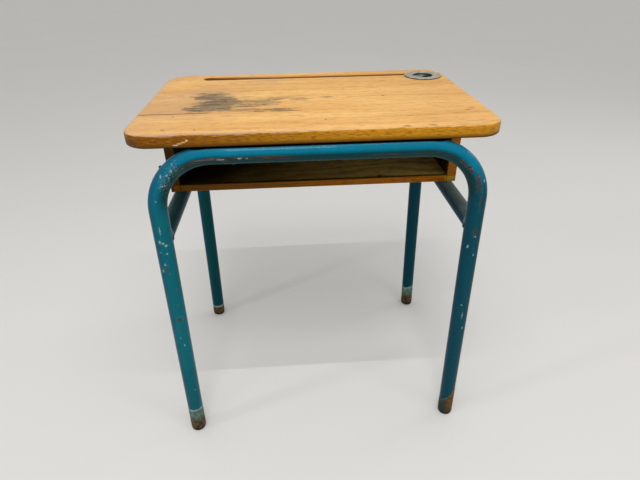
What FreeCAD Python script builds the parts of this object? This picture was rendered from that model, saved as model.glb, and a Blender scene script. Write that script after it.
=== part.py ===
"""Single-seat school desk: solid top on two bent-tube arches, with an open book box under it.

Millimetres. +Z up, +X to the pupil's right, +Y away from the pupil.
The origin is on the floor, under the middle of the top.
"""
import FreeCAD, Part
import math
import os

Vector = FreeCAD.Vector
X_AXIS = Vector(1, 0, 0)
Y_AXIS = Vector(0, 1, 0)
Z_AXIS = Vector(0, 0, 1)

# ---------------------------------------------------------------- driving dimensions
# Writing top: three boards glued edge to edge.
TOP_WIDTH = 550.0
TOP_DEPTH = 380.0
TOP_THICKNESS = 19.0
DESK_HEIGHT = 615.0
TOP_CORNER_RADIUS = 40.0
TOP_UPPER_ROUNDING = 4.5
TOP_LOWER_ROUNDING = 2.0
FRONT_BOARD_WIDTH = 102.0
MIDDLE_BOARD_WIDTH = 134.0

# Pen groove, cut with a round-nosed cutter and stopped at both ends.
GROOVE_WIDTH = 24.0
GROOVE_DEPTH = 6.5
GROOVE_FROM_REAR = 39.0
GROOVE_FROM_LEFT = 70.7

# Tube frame: 28 mm steel tube with 0.2 mm of paint all round.
TUBE_DIAMETER = 28.4
TUBE_WALL = 1.7
ARCH_INSET = 9.5
SIDE_OVERHANG = 14.8
FRAME_OFFSET = 3.7
BEND_RADIUS = 89.0
LEG_SPLAY_DEG = 1.15
STRETCHER_DIAMETER = 27.6

# Foot glides: a stem pressed into the tube, and a rounded foot under it.
GLIDE_HEIGHT = 6.0
GLIDE_RADIUS = 13.6
GLIDE_EDGE_ROUNDING = 3.5
GLIDE_STEM_LENGTH = 18.0
GLIDE_STEM_CLEARANCE = 0.1
GLIDE_STEM_CHAMFER = 1.5

# Book box.
BOX_HEIGHT = 135.2
BOX_SETBACK = 150.0
BOX_REAR_GAP = 5.3
BOX_SIDE_THICKNESS = 17.0
BOX_BOTTOM_THICKNESS = 12.0
BOX_BACK_THICKNESS = 10.0
RABBET_LIP = 5.0
LIPPING_DEPTH = 8.0
BOX_EDGE_ROUNDING = 1.2
CLEAT_SIZE = 18.0
CLEAT_END_GAP = 15.0

# Inkwell.
FLANGE_RADIUS = 36.0
FLANGE_THICKNESS = 2.4
FLANGE_EDGE_ROUNDING = 1.5
FLANGE_DISH = 0.4
APERTURE_RADIUS = 18.0
APERTURE_ROUNDING = 3.5
SLEEVE_OUTER_RADIUS = 22.4
SLEEVE_WALL = 1.5
SLEEVE_LENGTH = 17.5
SLEEVE_CLEARANCE = 0.6
LIP_DROP = 0.9
RUNNING_GAP = 0.3
COVER_THICKNESS = 1.0
COVER_DEPTH = 3.1
COVER_SKIRT_WALL = 0.8
MOUTH_RADIUS = 7.5
MOUTH_OFFSET = 9.5
DIMPLE_RADIUS = 6.5
DIMPLE_DEPTH = 2.0
CUP_RADIUS = 16.3
CUP_WALL = 1.8
CUP_DEPTH = 45.0
CUP_FOOT_ROUNDING = 3.0
CUP_PLATE_THICKNESS = 1.4
PLATE_MOUTH_MARGIN = 0.5
CUP_SIDE_CLEARANCE = 0.7
INKWELL_FROM_REAR = 61.5
SNAP_RING_WIRE_RADIUS = 0.9
SNAP_RING_SEAT_DEPTH = 0.8
SNAP_RING_CLEARANCE = 0.1
SNAP_RING_GAP = 4.0

# Bag hook on the left side of the box.
HOOK_ROD_RADIUS = 3.5
HOOK_REACH = 19.5
HOOK_BEND_RADIUS = 5.0
HOOK_RISE = 5.5
HOOK_FROM_BOX_FRONT = 30.0
HOOK_ABOVE_BOX_BOTTOM = 31.0
HOOK_PLATE_WIDTH = 16.0
HOOK_PLATE_HEIGHT = 44.0
HOOK_PLATE_THICKNESS = 2.5
HOOK_SCREW_PITCH = 30.0

# Wood screws: shank radius, head radius and head height.
ARCH_SCREW = (1.8, 3.6, 2.4)
STRETCHER_SCREW = (2.3, 4.5, 3.0)
CLEAT_SCREW = (1.9, 3.8, 2.4)
BACK_SCREW = (1.9, 3.8, 2.4)
HOOK_SCREW = (1.5, 3.0, 1.6)
SCREW_HOLE_CLEARANCE = 0.15
ARCH_SCREW_BITE = 13.0
STRETCHER_SCREW_BITE = 34.0
CLEAT_SCREW_BITE = 12.0
BACK_SCREW_BITE = 20.0
HOOK_SCREW_BITE = 12.0
ARCH_SCREW_SPACING = 125.0
SLOT_WIDTH = 1.0
SLOT_SHARE_OF_HEAD = 0.45
SCREW_POINT_SHARE = 0.3

# How far a cutting shape runs past the face that it cuts.
OVERCUT = 1.0

# ---------------------------------------------------------------- places worked out from them
# X is measured from the middle of the frame, which is FRAME_OFFSET to the right of the top's middle.
TOP_LEFT = -TOP_WIDTH / 2 - FRAME_OFFSET
TOP_RIGHT = TOP_WIDTH / 2 - FRAME_OFFSET
TOP_UNDERSIDE = DESK_HEIGHT - TOP_THICKNESS
TOP_FRONT = -TOP_DEPTH / 2
TOP_REAR = TOP_DEPTH / 2
TUBE_RADIUS = TUBE_DIAMETER / 2
ARCH_TOP = TOP_UNDERSIDE - TUBE_RADIUS
ARCH_FRONT_Y = TOP_FRONT + ARCH_INSET
ARCH_REAR_Y = TOP_REAR - ARCH_INSET
SHOULDER_X = TOP_WIDTH / 2 - SIDE_OVERHANG - TUBE_RADIUS
SPLAY = math.radians(LEG_SPLAY_DEG)

BOX_BOTTOM_Z = TOP_UNDERSIDE - BOX_HEIGHT
STRETCHER_RADIUS = STRETCHER_DIAMETER / 2
STRETCHER_Z = BOX_BOTTOM_Z - STRETCHER_RADIUS
BOX_FLOOR_Z = BOX_BOTTOM_Z + BOX_BOTTOM_THICKNESS
BOX_FRONT_Y = TOP_FRONT + BOX_SETBACK
BOX_REAR_Y = ARCH_REAR_Y - TUBE_RADIUS - BOX_REAR_GAP


def leg_x(height):
    """Distance of a leg's axis from the middle of the frame at a height below the bend."""
    bend_centre_x = SHOULDER_X - BEND_RADIUS
    bend_centre_z = ARCH_TOP - BEND_RADIUS
    leg_start_x = bend_centre_x + BEND_RADIUS * math.cos(SPLAY)
    leg_start_z = bend_centre_z + BEND_RADIUS * math.sin(SPLAY)
    return leg_start_x + (leg_start_z - height) * math.tan(SPLAY)


STRETCHER_X = leg_x(STRETCHER_Z)
BOX_OUTER_X = STRETCHER_X + STRETCHER_RADIUS - 0.75
BOX_INNER_X = BOX_OUTER_X - BOX_SIDE_THICKNESS
RABBET_X = BOX_OUTER_X - RABBET_LIP
BACK_INNER_Y = BOX_REAR_Y - BOX_BACK_THICKNESS

INKWELL_X = BOX_INNER_X - CUP_SIDE_CLEARANCE - CUP_RADIUS
INKWELL_Y = TOP_REAR - INKWELL_FROM_REAR
SLEEVE_INNER_RADIUS = SLEEVE_OUTER_RADIUS - SLEEVE_WALL
INKWELL_HOLE_RADIUS = SLEEVE_OUTER_RADIUS + SLEEVE_CLEARANCE
COVER_TOP = -LIP_DROP - RUNNING_GAP
COVER_RADIUS = SLEEVE_INNER_RADIUS - RUNNING_GAP
CUP_PLATE_TOP = COVER_TOP - COVER_DEPTH - RUNNING_GAP
CUP_PLATE_RADIUS = SLEEVE_INNER_RADIUS - RUNNING_GAP
GROOVE_Y = TOP_REAR - GROOVE_FROM_REAR
SNAP_RING_Z = CUP_PLATE_TOP - CUP_PLATE_THICKNESS - SNAP_RING_WIRE_RADIUS
SNAP_RING_SEAT_RADIUS = SLEEVE_INNER_RADIUS + SNAP_RING_SEAT_DEPTH

CLEAT_FRONT_Y = BOX_FRONT_Y + CLEAT_END_GAP
CLEAT_REAR_Y = BACK_INNER_Y - CLEAT_END_GAP
RIGHT_CLEAT_REAR_Y = INKWELL_Y - CUP_RADIUS - CLEAT_END_GAP
HOOK_Y = BOX_FRONT_Y + HOOK_FROM_BOX_FRONT
HOOK_Z = BOX_BOTTOM_Z + HOOK_ABOVE_BOX_BOTTOM


# ---------------------------------------------------------------- small helpers
def block(x_low, x_high, y_low, y_high, z_low, z_high):
    size = (x_high - x_low, y_high - y_low, z_high - z_low)
    return Part.makeBox(*size, Vector(x_low, y_low, z_low))


def rod(radius, start, end):
    """A round rod between two points."""
    run = end - start
    return Part.makeCylinder(radius, run.Length, start, run)


def turned(outline, centre=Vector(0, 0, 0)):
    """A solid turned about the vertical axis; outline is a list of edges in the XZ plane."""
    face = Part.Face(Part.Wire(outline))
    solid = face.revolve(Vector(0, 0, 0), Z_AXIS, 360)
    solid.translate(centre)
    return solid


def outline_edges(points):
    """Straight edges and arcs round a closed outline.

    Each point is (r, z), or (r, z, arc_r, arc_z) where an arc passes through a point on its way here.
    """
    edges = []
    for here, there in zip(points, points[1:] + points[:1]):
        start = Vector(here[0], 0, here[1])
        end = Vector(there[0], 0, there[1])
        if len(there) == 4:
            middle = Vector(there[2], 0, there[3])
            edges.append(Part.Arc(start, middle, end).toShape())
        else:
            edges.append(Part.LineSegment(start, end).toShape())
    return edges


def rounded_edges(solid, radius, picks):
    """Round the edges whose middle picks(middle) accepts."""
    edges = []
    for edge in solid.Edges:
        middle = edge.valueAt((edge.FirstParameter + edge.LastParameter) / 2)
        if picks(middle):
            edges.append(edge)
    return solid.makeFillet(radius, edges).Solids[0]


def near(value, target):
    return abs(value - target) < 0.01


def one_solid(shape):
    """The single solid that a cut or a fuse leaves, without the seams between its pieces."""
    cleaned = shape.removeSplitter()
    if len(cleaned.Solids) != 1:
        raise ValueError(f"expected one solid, found {len(cleaned.Solids)}")
    return cleaned.Solids[0]


def screw(sizes, head_seat, direction, shank_length):
    """A slotted round-head wood screw: its head sits on head_seat and its shank runs along direction."""
    shank_radius, head_radius, head_height = sizes
    tip_length = 2 * shank_radius
    ball_radius = (head_radius ** 2 + head_height ** 2) / (2 * head_height)
    half_angle = math.asin(head_radius / ball_radius) / 2
    dome_r = ball_radius * math.sin(half_angle)
    dome_z = ball_radius * (1 - math.cos(half_angle)) - head_height
    head = turned(outline_edges([(0, 0), (head_radius, 0), (0, -head_height, dome_r, dome_z)]))
    shank = Part.makeCylinder(shank_radius, shank_length - tip_length, Vector(0, 0, 0), Z_AXIS)
    tip_start = Vector(0, 0, shank_length - tip_length)
    point_radius = shank_radius * SCREW_POINT_SHARE
    tip = Part.makeCone(shank_radius, point_radius, tip_length, tip_start, Z_AXIS)
    slot_depth = head_height * SLOT_SHARE_OF_HEAD
    slot = block(
        -SLOT_WIDTH / 2, SLOT_WIDTH / 2, -head_radius, head_radius,
        -head_height, -head_height + slot_depth,
    )
    made = one_solid(head.fuse([shank, tip]).cut(slot))
    made.Placement = FreeCAD.Placement(head_seat, FreeCAD.Rotation(Z_AXIS, direction))
    return made


def holes_for(solid, screws):
    """Cut the seats of the screws out of a wooden piece."""
    return one_solid(solid.cut(screws))


# ---------------------------------------------------------------- tube frame
def arch_path(y, foot_clearance):
    """Centre line of an arch: up the left leg, across under the top, and down the right leg."""
    bend_x = SHOULDER_X - BEND_RADIUS
    bend_z = ARCH_TOP - BEND_RADIUS
    half_turn = math.radians(45)

    def on_bend(side, angle):
        """A point of the bend, angle measured up from the horizontal."""
        reach = bend_x + BEND_RADIUS * math.cos(angle)
        return Vector(side * reach, y, bend_z + BEND_RADIUS * math.sin(angle))

    left_foot = Vector(-leg_x(foot_clearance), y, foot_clearance)
    right_foot = Vector(leg_x(foot_clearance), y, foot_clearance)
    left_leg_top = on_bend(-1, SPLAY)
    right_leg_top = on_bend(1, SPLAY)
    left_top = Vector(-bend_x, y, ARCH_TOP)
    right_top = Vector(bend_x, y, ARCH_TOP)
    return Part.Wire([
        Part.LineSegment(left_foot, left_leg_top).toShape(),
        Part.Arc(left_leg_top, on_bend(-1, half_turn), left_top).toShape(),
        Part.LineSegment(left_top, right_top).toShape(),
        Part.Arc(right_top, on_bend(1, half_turn), right_leg_top).toShape(),
        Part.LineSegment(right_leg_top, right_foot).toShape(),
    ])


def arch_rod(y, radius):
    """A solid round bar along an arch's centre line."""
    path = arch_path(y, GLIDE_HEIGHT * math.cos(SPLAY))
    first = path.Edges[0]
    start = first.valueAt(first.FirstParameter)
    circle = Part.Circle(start, first.tangentAt(first.FirstParameter), radius)
    profile = Part.Wire([circle.toShape()])
    return path.makePipeShell([profile], True, False)


def arch_screw_places():
    return [-ARCH_SCREW_SPACING, 0.0, ARCH_SCREW_SPACING]


def arch_screws(y):
    """Screws that go up through the arch's horizontal tube into the top."""
    seat_z = ARCH_TOP - TUBE_RADIUS
    length = TUBE_DIAMETER + ARCH_SCREW_BITE
    return [screw(ARCH_SCREW, Vector(x, y, seat_z), Z_AXIS, length) for x in arch_screw_places()]


def arch(y):
    """A hollow arch, drilled right through its horizontal tube for the screws."""
    tube = arch_rod(y, TUBE_RADIUS).cut(arch_rod(y, TUBE_RADIUS - TUBE_WALL))
    hole_radius = ARCH_SCREW[0] + SCREW_HOLE_CLEARANCE
    holes = []
    for x in arch_screw_places():
        low = Vector(x, y, ARCH_TOP - TUBE_RADIUS - OVERCUT)
        holes.append(rod(hole_radius, low, Vector(x, y, TOP_UNDERSIDE + OVERCUT)))
    return one_solid(tube.cut(holes))


def stretcher_screw_places(side):
    inset = (BOX_REAR_Y - BOX_FRONT_Y) / 5
    return [Vector(side * STRETCHER_X, y, 0) for y in (BOX_FRONT_Y + inset, BOX_REAR_Y - inset)]


def stretcher_screws(side):
    """Screws that go up through a stretcher into the box."""
    made = []
    for place in stretcher_screw_places(side):
        seat = Vector(place.x, place.y, STRETCHER_Z - STRETCHER_RADIUS)
        length = STRETCHER_DIAMETER + STRETCHER_SCREW_BITE
        made.append(screw(STRETCHER_SCREW, seat, Z_AXIS, length))
    return made


def stretcher(side):
    """A hollow side rail, its ends coped to fit round the legs."""
    start = Vector(side * STRETCHER_X, ARCH_FRONT_Y, STRETCHER_Z)
    end = Vector(side * STRETCHER_X, ARCH_REAR_Y, STRETCHER_Z)
    tube = rod(STRETCHER_RADIUS, start, end).cut(rod(STRETCHER_RADIUS - TUBE_WALL, start, end))
    hole_radius = STRETCHER_SCREW[0] + SCREW_HOLE_CLEARANCE
    holes = []
    for place in stretcher_screw_places(side):
        low = Vector(place.x, place.y, STRETCHER_Z - STRETCHER_RADIUS - OVERCUT)
        holes.append(rod(hole_radius, low, Vector(place.x, place.y, BOX_BOTTOM_Z + OVERCUT)))
    legs = [arch_rod(ARCH_FRONT_Y, TUBE_RADIUS), arch_rod(ARCH_REAR_Y, TUBE_RADIUS)]
    coped = tube.cut(holes).cut(legs)
    return max(coped.Solids, key=lambda solid: solid.Volume)


def glide(side, y):
    """A foot glide on a leg's axis, with its sole cut level with the floor."""
    stem_radius = TUBE_RADIUS - TUBE_WALL - GLIDE_STEM_CLEARANCE
    edge = GLIDE_EDGE_ROUNDING
    diagonal = edge * (1 - math.sqrt(0.5))
    sole = -GLIDE_RADIUS * math.sin(SPLAY)
    stem_top = GLIDE_HEIGHT + GLIDE_STEM_LENGTH
    outline = outline_edges([
        (0, sole),
        (GLIDE_RADIUS - edge, sole),
        (GLIDE_RADIUS, sole + edge, GLIDE_RADIUS - diagonal, sole + diagonal),
        (GLIDE_RADIUS, GLIDE_HEIGHT),
        (stem_radius, GLIDE_HEIGHT),
        (stem_radius, stem_top - GLIDE_STEM_CHAMFER),
        (stem_radius - GLIDE_STEM_CHAMFER, stem_top),
        (0, stem_top),
    ])
    made = turned(outline)
    made.rotate(Vector(0, 0, 0), Y_AXIS, -side * LEG_SPLAY_DEG)
    made.translate(Vector(side * leg_x(0), y, 0))
    foot_x = side * leg_x(0)
    reach = 2 * GLIDE_RADIUS
    under_floor = block(foot_x - reach, foot_x + reach, y - reach, y + reach, -reach, 0)
    return one_solid(made.cut(under_floor))


# ---------------------------------------------------------------- writing top
def top_blank():
    """The whole top with its corners and edges rounded, before it is divided into boards."""
    blank = block(TOP_LEFT, TOP_RIGHT, TOP_FRONT, TOP_REAR, TOP_UNDERSIDE, DESK_HEIGHT)
    middle_z = TOP_UNDERSIDE + TOP_THICKNESS / 2
    blank = rounded_edges(blank, TOP_CORNER_RADIUS, lambda at: near(at.z, middle_z))
    blank = rounded_edges(blank, TOP_UPPER_ROUNDING, lambda at: near(at.z, DESK_HEIGHT))
    return rounded_edges(blank, TOP_LOWER_ROUNDING, lambda at: near(at.z, TOP_UNDERSIDE))


def pen_groove():
    """The space a round-nosed cutter takes out, from the left stop to under the inkwell's flange."""
    half = GROOVE_WIDTH / 2
    radius = (half ** 2 + GROOVE_DEPTH ** 2) / (2 * GROOVE_DEPTH)
    centre_z = DESK_HEIGHT - GROOVE_DEPTH + radius
    left_stop = Vector(TOP_LEFT + GROOVE_FROM_LEFT + half, GROOVE_Y, centre_z)
    offset_y = GROOVE_Y - INKWELL_Y
    flange_chord = math.sqrt(max(FLANGE_RADIUS ** 2 - offset_y ** 2, 0.0))
    right_stop = Vector(INKWELL_X - flange_chord - half / 2, GROOVE_Y, centre_z)
    ends = [Part.makeSphere(radius, left_stop), Part.makeSphere(radius, right_stop)]
    return rod(radius, left_stop, right_stop).fuse(ends)


def top_boards(screws):
    """The three boards of the top, front to rear, cut for the groove, the inkwell and the screws."""
    blank = top_blank()
    hole_low = Vector(INKWELL_X, INKWELL_Y, TOP_UNDERSIDE - OVERCUT)
    hole_high = Vector(INKWELL_X, INKWELL_Y, DESK_HEIGHT + OVERCUT)
    hole = rod(INKWELL_HOLE_RADIUS, hole_low, hole_high)
    blank = blank.cut([pen_groove(), hole]).cut(screws)
    first_joint = TOP_FRONT + FRONT_BOARD_WIDTH
    second_joint = first_joint + MIDDLE_BOARD_WIDTH
    lines = [TOP_FRONT, first_joint, second_joint, TOP_REAR]
    boards = []
    for front, rear in zip(lines, lines[1:]):
        slab = block(TOP_LEFT, TOP_RIGHT, front, rear, TOP_UNDERSIDE, DESK_HEIGHT)
        boards.append(one_solid(blank.common(slab)))
    return boards


# ---------------------------------------------------------------- book box
def box_side(side, screws):
    """A side of the box, rabbeted along its lower inner edge for the bottom board."""
    low, high = sorted((side * BOX_INNER_X, side * BOX_OUTER_X))
    panel = block(low, high, BOX_FRONT_Y, BOX_REAR_Y, BOX_BOTTOM_Z, TOP_UNDERSIDE)
    middle_z = (BOX_BOTTOM_Z + TOP_UNDERSIDE) / 2
    panel = rounded_edges(
        panel, BOX_EDGE_ROUNDING, lambda at: near(at.y, BOX_FRONT_Y) and near(at.z, middle_z)
    )
    low, high = sorted((side * BOX_INNER_X, side * RABBET_X))
    front, rear = BOX_FRONT_Y - OVERCUT, BOX_REAR_Y + OVERCUT
    rabbet = block(low, high, front, rear, BOX_BOTTOM_Z - OVERCUT, BOX_FLOOR_Z)
    return holes_for(panel.cut(rabbet), screws)


def box_bottom(screws):
    """The bottom board: its ends fill the rabbets, and its front edge is notched for the lipping."""
    board = block(-RABBET_X, RABBET_X, BOX_FRONT_Y, BOX_REAR_Y, BOX_BOTTOM_Z, BOX_FLOOR_Z)
    notch = block(
        -BOX_INNER_X, BOX_INNER_X, BOX_FRONT_Y - OVERCUT, BOX_FRONT_Y + LIPPING_DEPTH,
        BOX_BOTTOM_Z - OVERCUT, BOX_FLOOR_Z + OVERCUT,
    )
    return holes_for(board.cut(notch), screws)


def box_lipping():
    """A strip that covers the front edge of the bottom board."""
    strip = block(
        -BOX_INNER_X, BOX_INNER_X, BOX_FRONT_Y, BOX_FRONT_Y + LIPPING_DEPTH,
        BOX_BOTTOM_Z, BOX_FLOOR_Z,
    )
    middle_z = (BOX_BOTTOM_Z + BOX_FLOOR_Z) / 2
    return rounded_edges(
        strip, BOX_EDGE_ROUNDING, lambda at: near(at.y, BOX_FRONT_Y) and not near(at.z, middle_z)
    )


def box_back(screws):
    panel = block(-BOX_INNER_X, BOX_INNER_X, BACK_INNER_Y, BOX_REAR_Y, BOX_FLOOR_Z, TOP_UNDERSIDE)
    return holes_for(panel, screws)


def back_screws(side):
    """Screws through a side of the box into the end of its back."""
    y = (BACK_INNER_Y + BOX_REAR_Y) / 2
    inward = Vector(-side, 0, 0)
    height = TOP_UNDERSIDE - BOX_FLOOR_Z
    length = BOX_SIDE_THICKNESS + BACK_SCREW_BITE
    made = []
    for share in (0.15, 0.5, 0.85):
        seat = Vector(side * BOX_OUTER_X, y, BOX_FLOOR_Z + share * height)
        made.append(screw(BACK_SCREW, seat, inward, length))
    return made


def cleat_span(side):
    rear = RIGHT_CLEAT_REAR_Y if side > 0 else CLEAT_REAR_Y
    return CLEAT_FRONT_Y, rear


def cleat_screws(side):
    """Screws up into the top and sideways into the box side, from inside the box."""
    front, rear = cleat_span(side)
    length = CLEAT_SIZE + CLEAT_SCREW_BITE
    middle = CLEAT_SIZE / 2
    upward = []
    sideways = []
    for share in (0.12, 0.5, 0.88):
        y = front + share * (rear - front)
        seat = Vector(side * (BOX_INNER_X - middle), y, TOP_UNDERSIDE - CLEAT_SIZE)
        upward.append(screw(CLEAT_SCREW, seat, Z_AXIS, length))
    for share in (0.3, 0.7):
        y = front + share * (rear - front)
        seat = Vector(side * (BOX_INNER_X - CLEAT_SIZE), y, TOP_UNDERSIDE - middle)
        sideways.append(screw(CLEAT_SCREW, seat, Vector(side, 0, 0), length))
    return upward, sideways


def cleat(side, screws):
    """A square batten in the upper corner of the box, which holds it to the top."""
    front, rear = cleat_span(side)
    low, high = sorted((side * (BOX_INNER_X - CLEAT_SIZE), side * BOX_INNER_X))
    batten = block(low, high, front, rear, TOP_UNDERSIDE - CLEAT_SIZE, TOP_UNDERSIDE)
    return holes_for(batten, screws)


# ---------------------------------------------------------------- inkwell
def at_inkwell(height=0.0):
    """The inkwell's axis at a height above the writing surface."""
    return Vector(INKWELL_X, INKWELL_Y, DESK_HEIGHT + height)


def mouth(radius, low, high):
    """A round hole beside the inkwell's axis."""
    start = at_inkwell(low) + Vector(MOUTH_OFFSET, 0, 0)
    return rod(radius, start, at_inkwell(high) + Vector(MOUTH_OFFSET, 0, 0))


def inkwell_flange():
    """A spun collar: a broad rim on the top, a rounded mouth, and a sleeve down its hole."""
    rim = FLANGE_EDGE_ROUNDING
    diagonal = rim * (1 - math.sqrt(0.5))
    lip_top = FLANGE_THICKNESS - FLANGE_DISH
    shoulder = APERTURE_RADIUS + APERTURE_ROUNDING
    outline = outline_edges([
        (FLANGE_RADIUS, 0),
        (FLANGE_RADIUS, FLANGE_THICKNESS - rim),
        (FLANGE_RADIUS - rim, FLANGE_THICKNESS, FLANGE_RADIUS - diagonal, FLANGE_THICKNESS - diagonal),
        (shoulder, lip_top),
        (APERTURE_RADIUS, 0, APERTURE_RADIUS + 0.3 * APERTURE_ROUNDING, 0.7 * lip_top),
        (APERTURE_RADIUS, -LIP_DROP),
        (SLEEVE_INNER_RADIUS, -LIP_DROP),
        (SLEEVE_INNER_RADIUS, -SLEEVE_LENGTH),
        (SLEEVE_OUTER_RADIUS, -SLEEVE_LENGTH),
        (SLEEVE_OUTER_RADIUS, 0),
    ])
    seat_half = SNAP_RING_WIRE_RADIUS + SNAP_RING_CLEARANCE
    seat_low = at_inkwell(SNAP_RING_Z - seat_half)
    seat_high = at_inkwell(SNAP_RING_Z + seat_half)
    return one_solid(turned(outline, at_inkwell()).cut(rod(SNAP_RING_SEAT_RADIUS, seat_low, seat_high)))


def inkwell_cover():
    """A revolving pan with a mouth on one side and a finger dimple on the other."""
    bottom = COVER_TOP - COVER_DEPTH
    skirt_inner = COVER_RADIUS - COVER_SKIRT_WALL
    under = COVER_TOP - COVER_THICKNESS
    pan = turned(outline_edges([
        (0, COVER_TOP),
        (COVER_RADIUS, COVER_TOP),
        (COVER_RADIUS, bottom),
        (skirt_inner, bottom),
        (skirt_inner, under),
        (0, under),
    ]), at_inkwell())
    ball_radius = (DIMPLE_RADIUS ** 2 + DIMPLE_DEPTH ** 2) / (2 * DIMPLE_DEPTH)
    ball_centre = at_inkwell(COVER_TOP - DIMPLE_DEPTH + ball_radius) - Vector(MOUTH_OFFSET, 0, 0)
    under_shell = Part.makeSphere(ball_radius + COVER_THICKNESS, ball_centre)
    collar_low = at_inkwell(bottom) - Vector(MOUTH_OFFSET, 0, 0)
    collar_high = at_inkwell(COVER_TOP) - Vector(MOUTH_OFFSET, 0, 0)
    shell = under_shell.common(rod(DIMPLE_RADIUS + COVER_THICKNESS, collar_low, collar_high))
    pan = pan.fuse(shell).cut(Part.makeSphere(ball_radius, ball_centre))
    return one_solid(pan.cut(mouth(MOUTH_RADIUS, bottom, COVER_TOP + OVERCUT)))


def ink_cup():
    """A round cup under a plate whose off-centre mouth matches the cover's."""
    plate_under = CUP_PLATE_TOP - CUP_PLATE_THICKNESS
    inner = CUP_RADIUS - CUP_WALL
    foot = CUP_FOOT_ROUNDING
    diagonal = foot * (1 - math.sqrt(0.5))
    body = turned(outline_edges([
        (0, CUP_PLATE_TOP),
        (CUP_PLATE_RADIUS, CUP_PLATE_TOP),
        (CUP_PLATE_RADIUS, plate_under),
        (CUP_RADIUS, plate_under),
        (CUP_RADIUS, foot - CUP_DEPTH),
        (CUP_RADIUS - foot, -CUP_DEPTH, CUP_RADIUS - diagonal, diagonal - CUP_DEPTH),
        (0, -CUP_DEPTH),
    ]), at_inkwell())
    hollow = rod(inner, at_inkwell(CUP_WALL - CUP_DEPTH), at_inkwell(plate_under))
    plate_mouth = mouth(
        MOUTH_RADIUS + PLATE_MOUTH_MARGIN, plate_under - OVERCUT, CUP_PLATE_TOP + OVERCUT
    )
    return one_solid(body.cut([hollow, plate_mouth]))


def snap_ring():
    """A split wire ring sprung into the sleeve's groove, under the cup's plate."""
    wire = SNAP_RING_WIRE_RADIUS
    ring_radius = SNAP_RING_SEAT_RADIUS - SNAP_RING_CLEARANCE - wire
    ring = Part.makeTorus(ring_radius, wire, at_inkwell(SNAP_RING_Z), Z_AXIS)
    split = at_inkwell(SNAP_RING_Z) - Vector(0, ring_radius, 0)
    gap = block(
        split.x - SNAP_RING_GAP / 2, split.x + SNAP_RING_GAP / 2, split.y - 2 * wire, split.y + 2 * wire,
        split.z - 2 * wire, split.z + 2 * wire,
    )
    return one_solid(ring.cut(gap))


# ---------------------------------------------------------------- bag hook
def hook_screws():
    made = []
    seat_x = -BOX_OUTER_X - HOOK_PLATE_THICKNESS
    length = HOOK_PLATE_THICKNESS + HOOK_SCREW_BITE
    for step in (-0.5, 0.5):
        seat = Vector(seat_x, HOOK_Y, HOOK_Z + step * HOOK_SCREW_PITCH)
        made.append(screw(HOOK_SCREW, seat, X_AXIS, length))
    return made


def bag_hook(screws):
    """A J-shaped rod on a plate: straight out from the box side, then up to a round tip."""
    plate_x = -BOX_OUTER_X - HOOK_PLATE_THICKNESS
    half = HOOK_PLATE_WIDTH / 2
    straight = HOOK_PLATE_HEIGHT / 2 - half
    plate = block(plate_x, -BOX_OUTER_X, HOOK_Y - half, HOOK_Y + half, HOOK_Z - straight, HOOK_Z + straight)
    for step in (-straight, straight):
        outer = Vector(plate_x, HOOK_Y, HOOK_Z + step)
        plate = plate.fuse(rod(half, outer, Vector(-BOX_OUTER_X, HOOK_Y, HOOK_Z + step)))
    root = Vector(plate_x + HOOK_PLATE_THICKNESS / 2, HOOK_Y, HOOK_Z)
    bend_start = Vector(-BOX_OUTER_X - HOOK_REACH + HOOK_BEND_RADIUS, HOOK_Y, HOOK_Z)
    bend_middle = bend_start + Vector(
        -HOOK_BEND_RADIUS * math.sqrt(0.5), 0, HOOK_BEND_RADIUS * (1 - math.sqrt(0.5))
    )
    bend_end = bend_start + Vector(-HOOK_BEND_RADIUS, 0, HOOK_BEND_RADIUS)
    tip = Vector(bend_end.x, HOOK_Y, HOOK_Z + HOOK_RISE)
    path = Part.Wire([
        Part.LineSegment(root, bend_start).toShape(),
        Part.Arc(bend_start, bend_middle, bend_end).toShape(),
        Part.LineSegment(bend_end, tip).toShape(),
    ])
    circle = Part.Wire([Part.Circle(root, Vector(-1, 0, 0), HOOK_ROD_RADIUS).toShape()])
    arm = path.makePipeShell([circle], True, False)
    ball = Part.makeSphere(HOOK_ROD_RADIUS, tip)
    return holes_for(plate.fuse([arm, ball]), screws)


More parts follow.
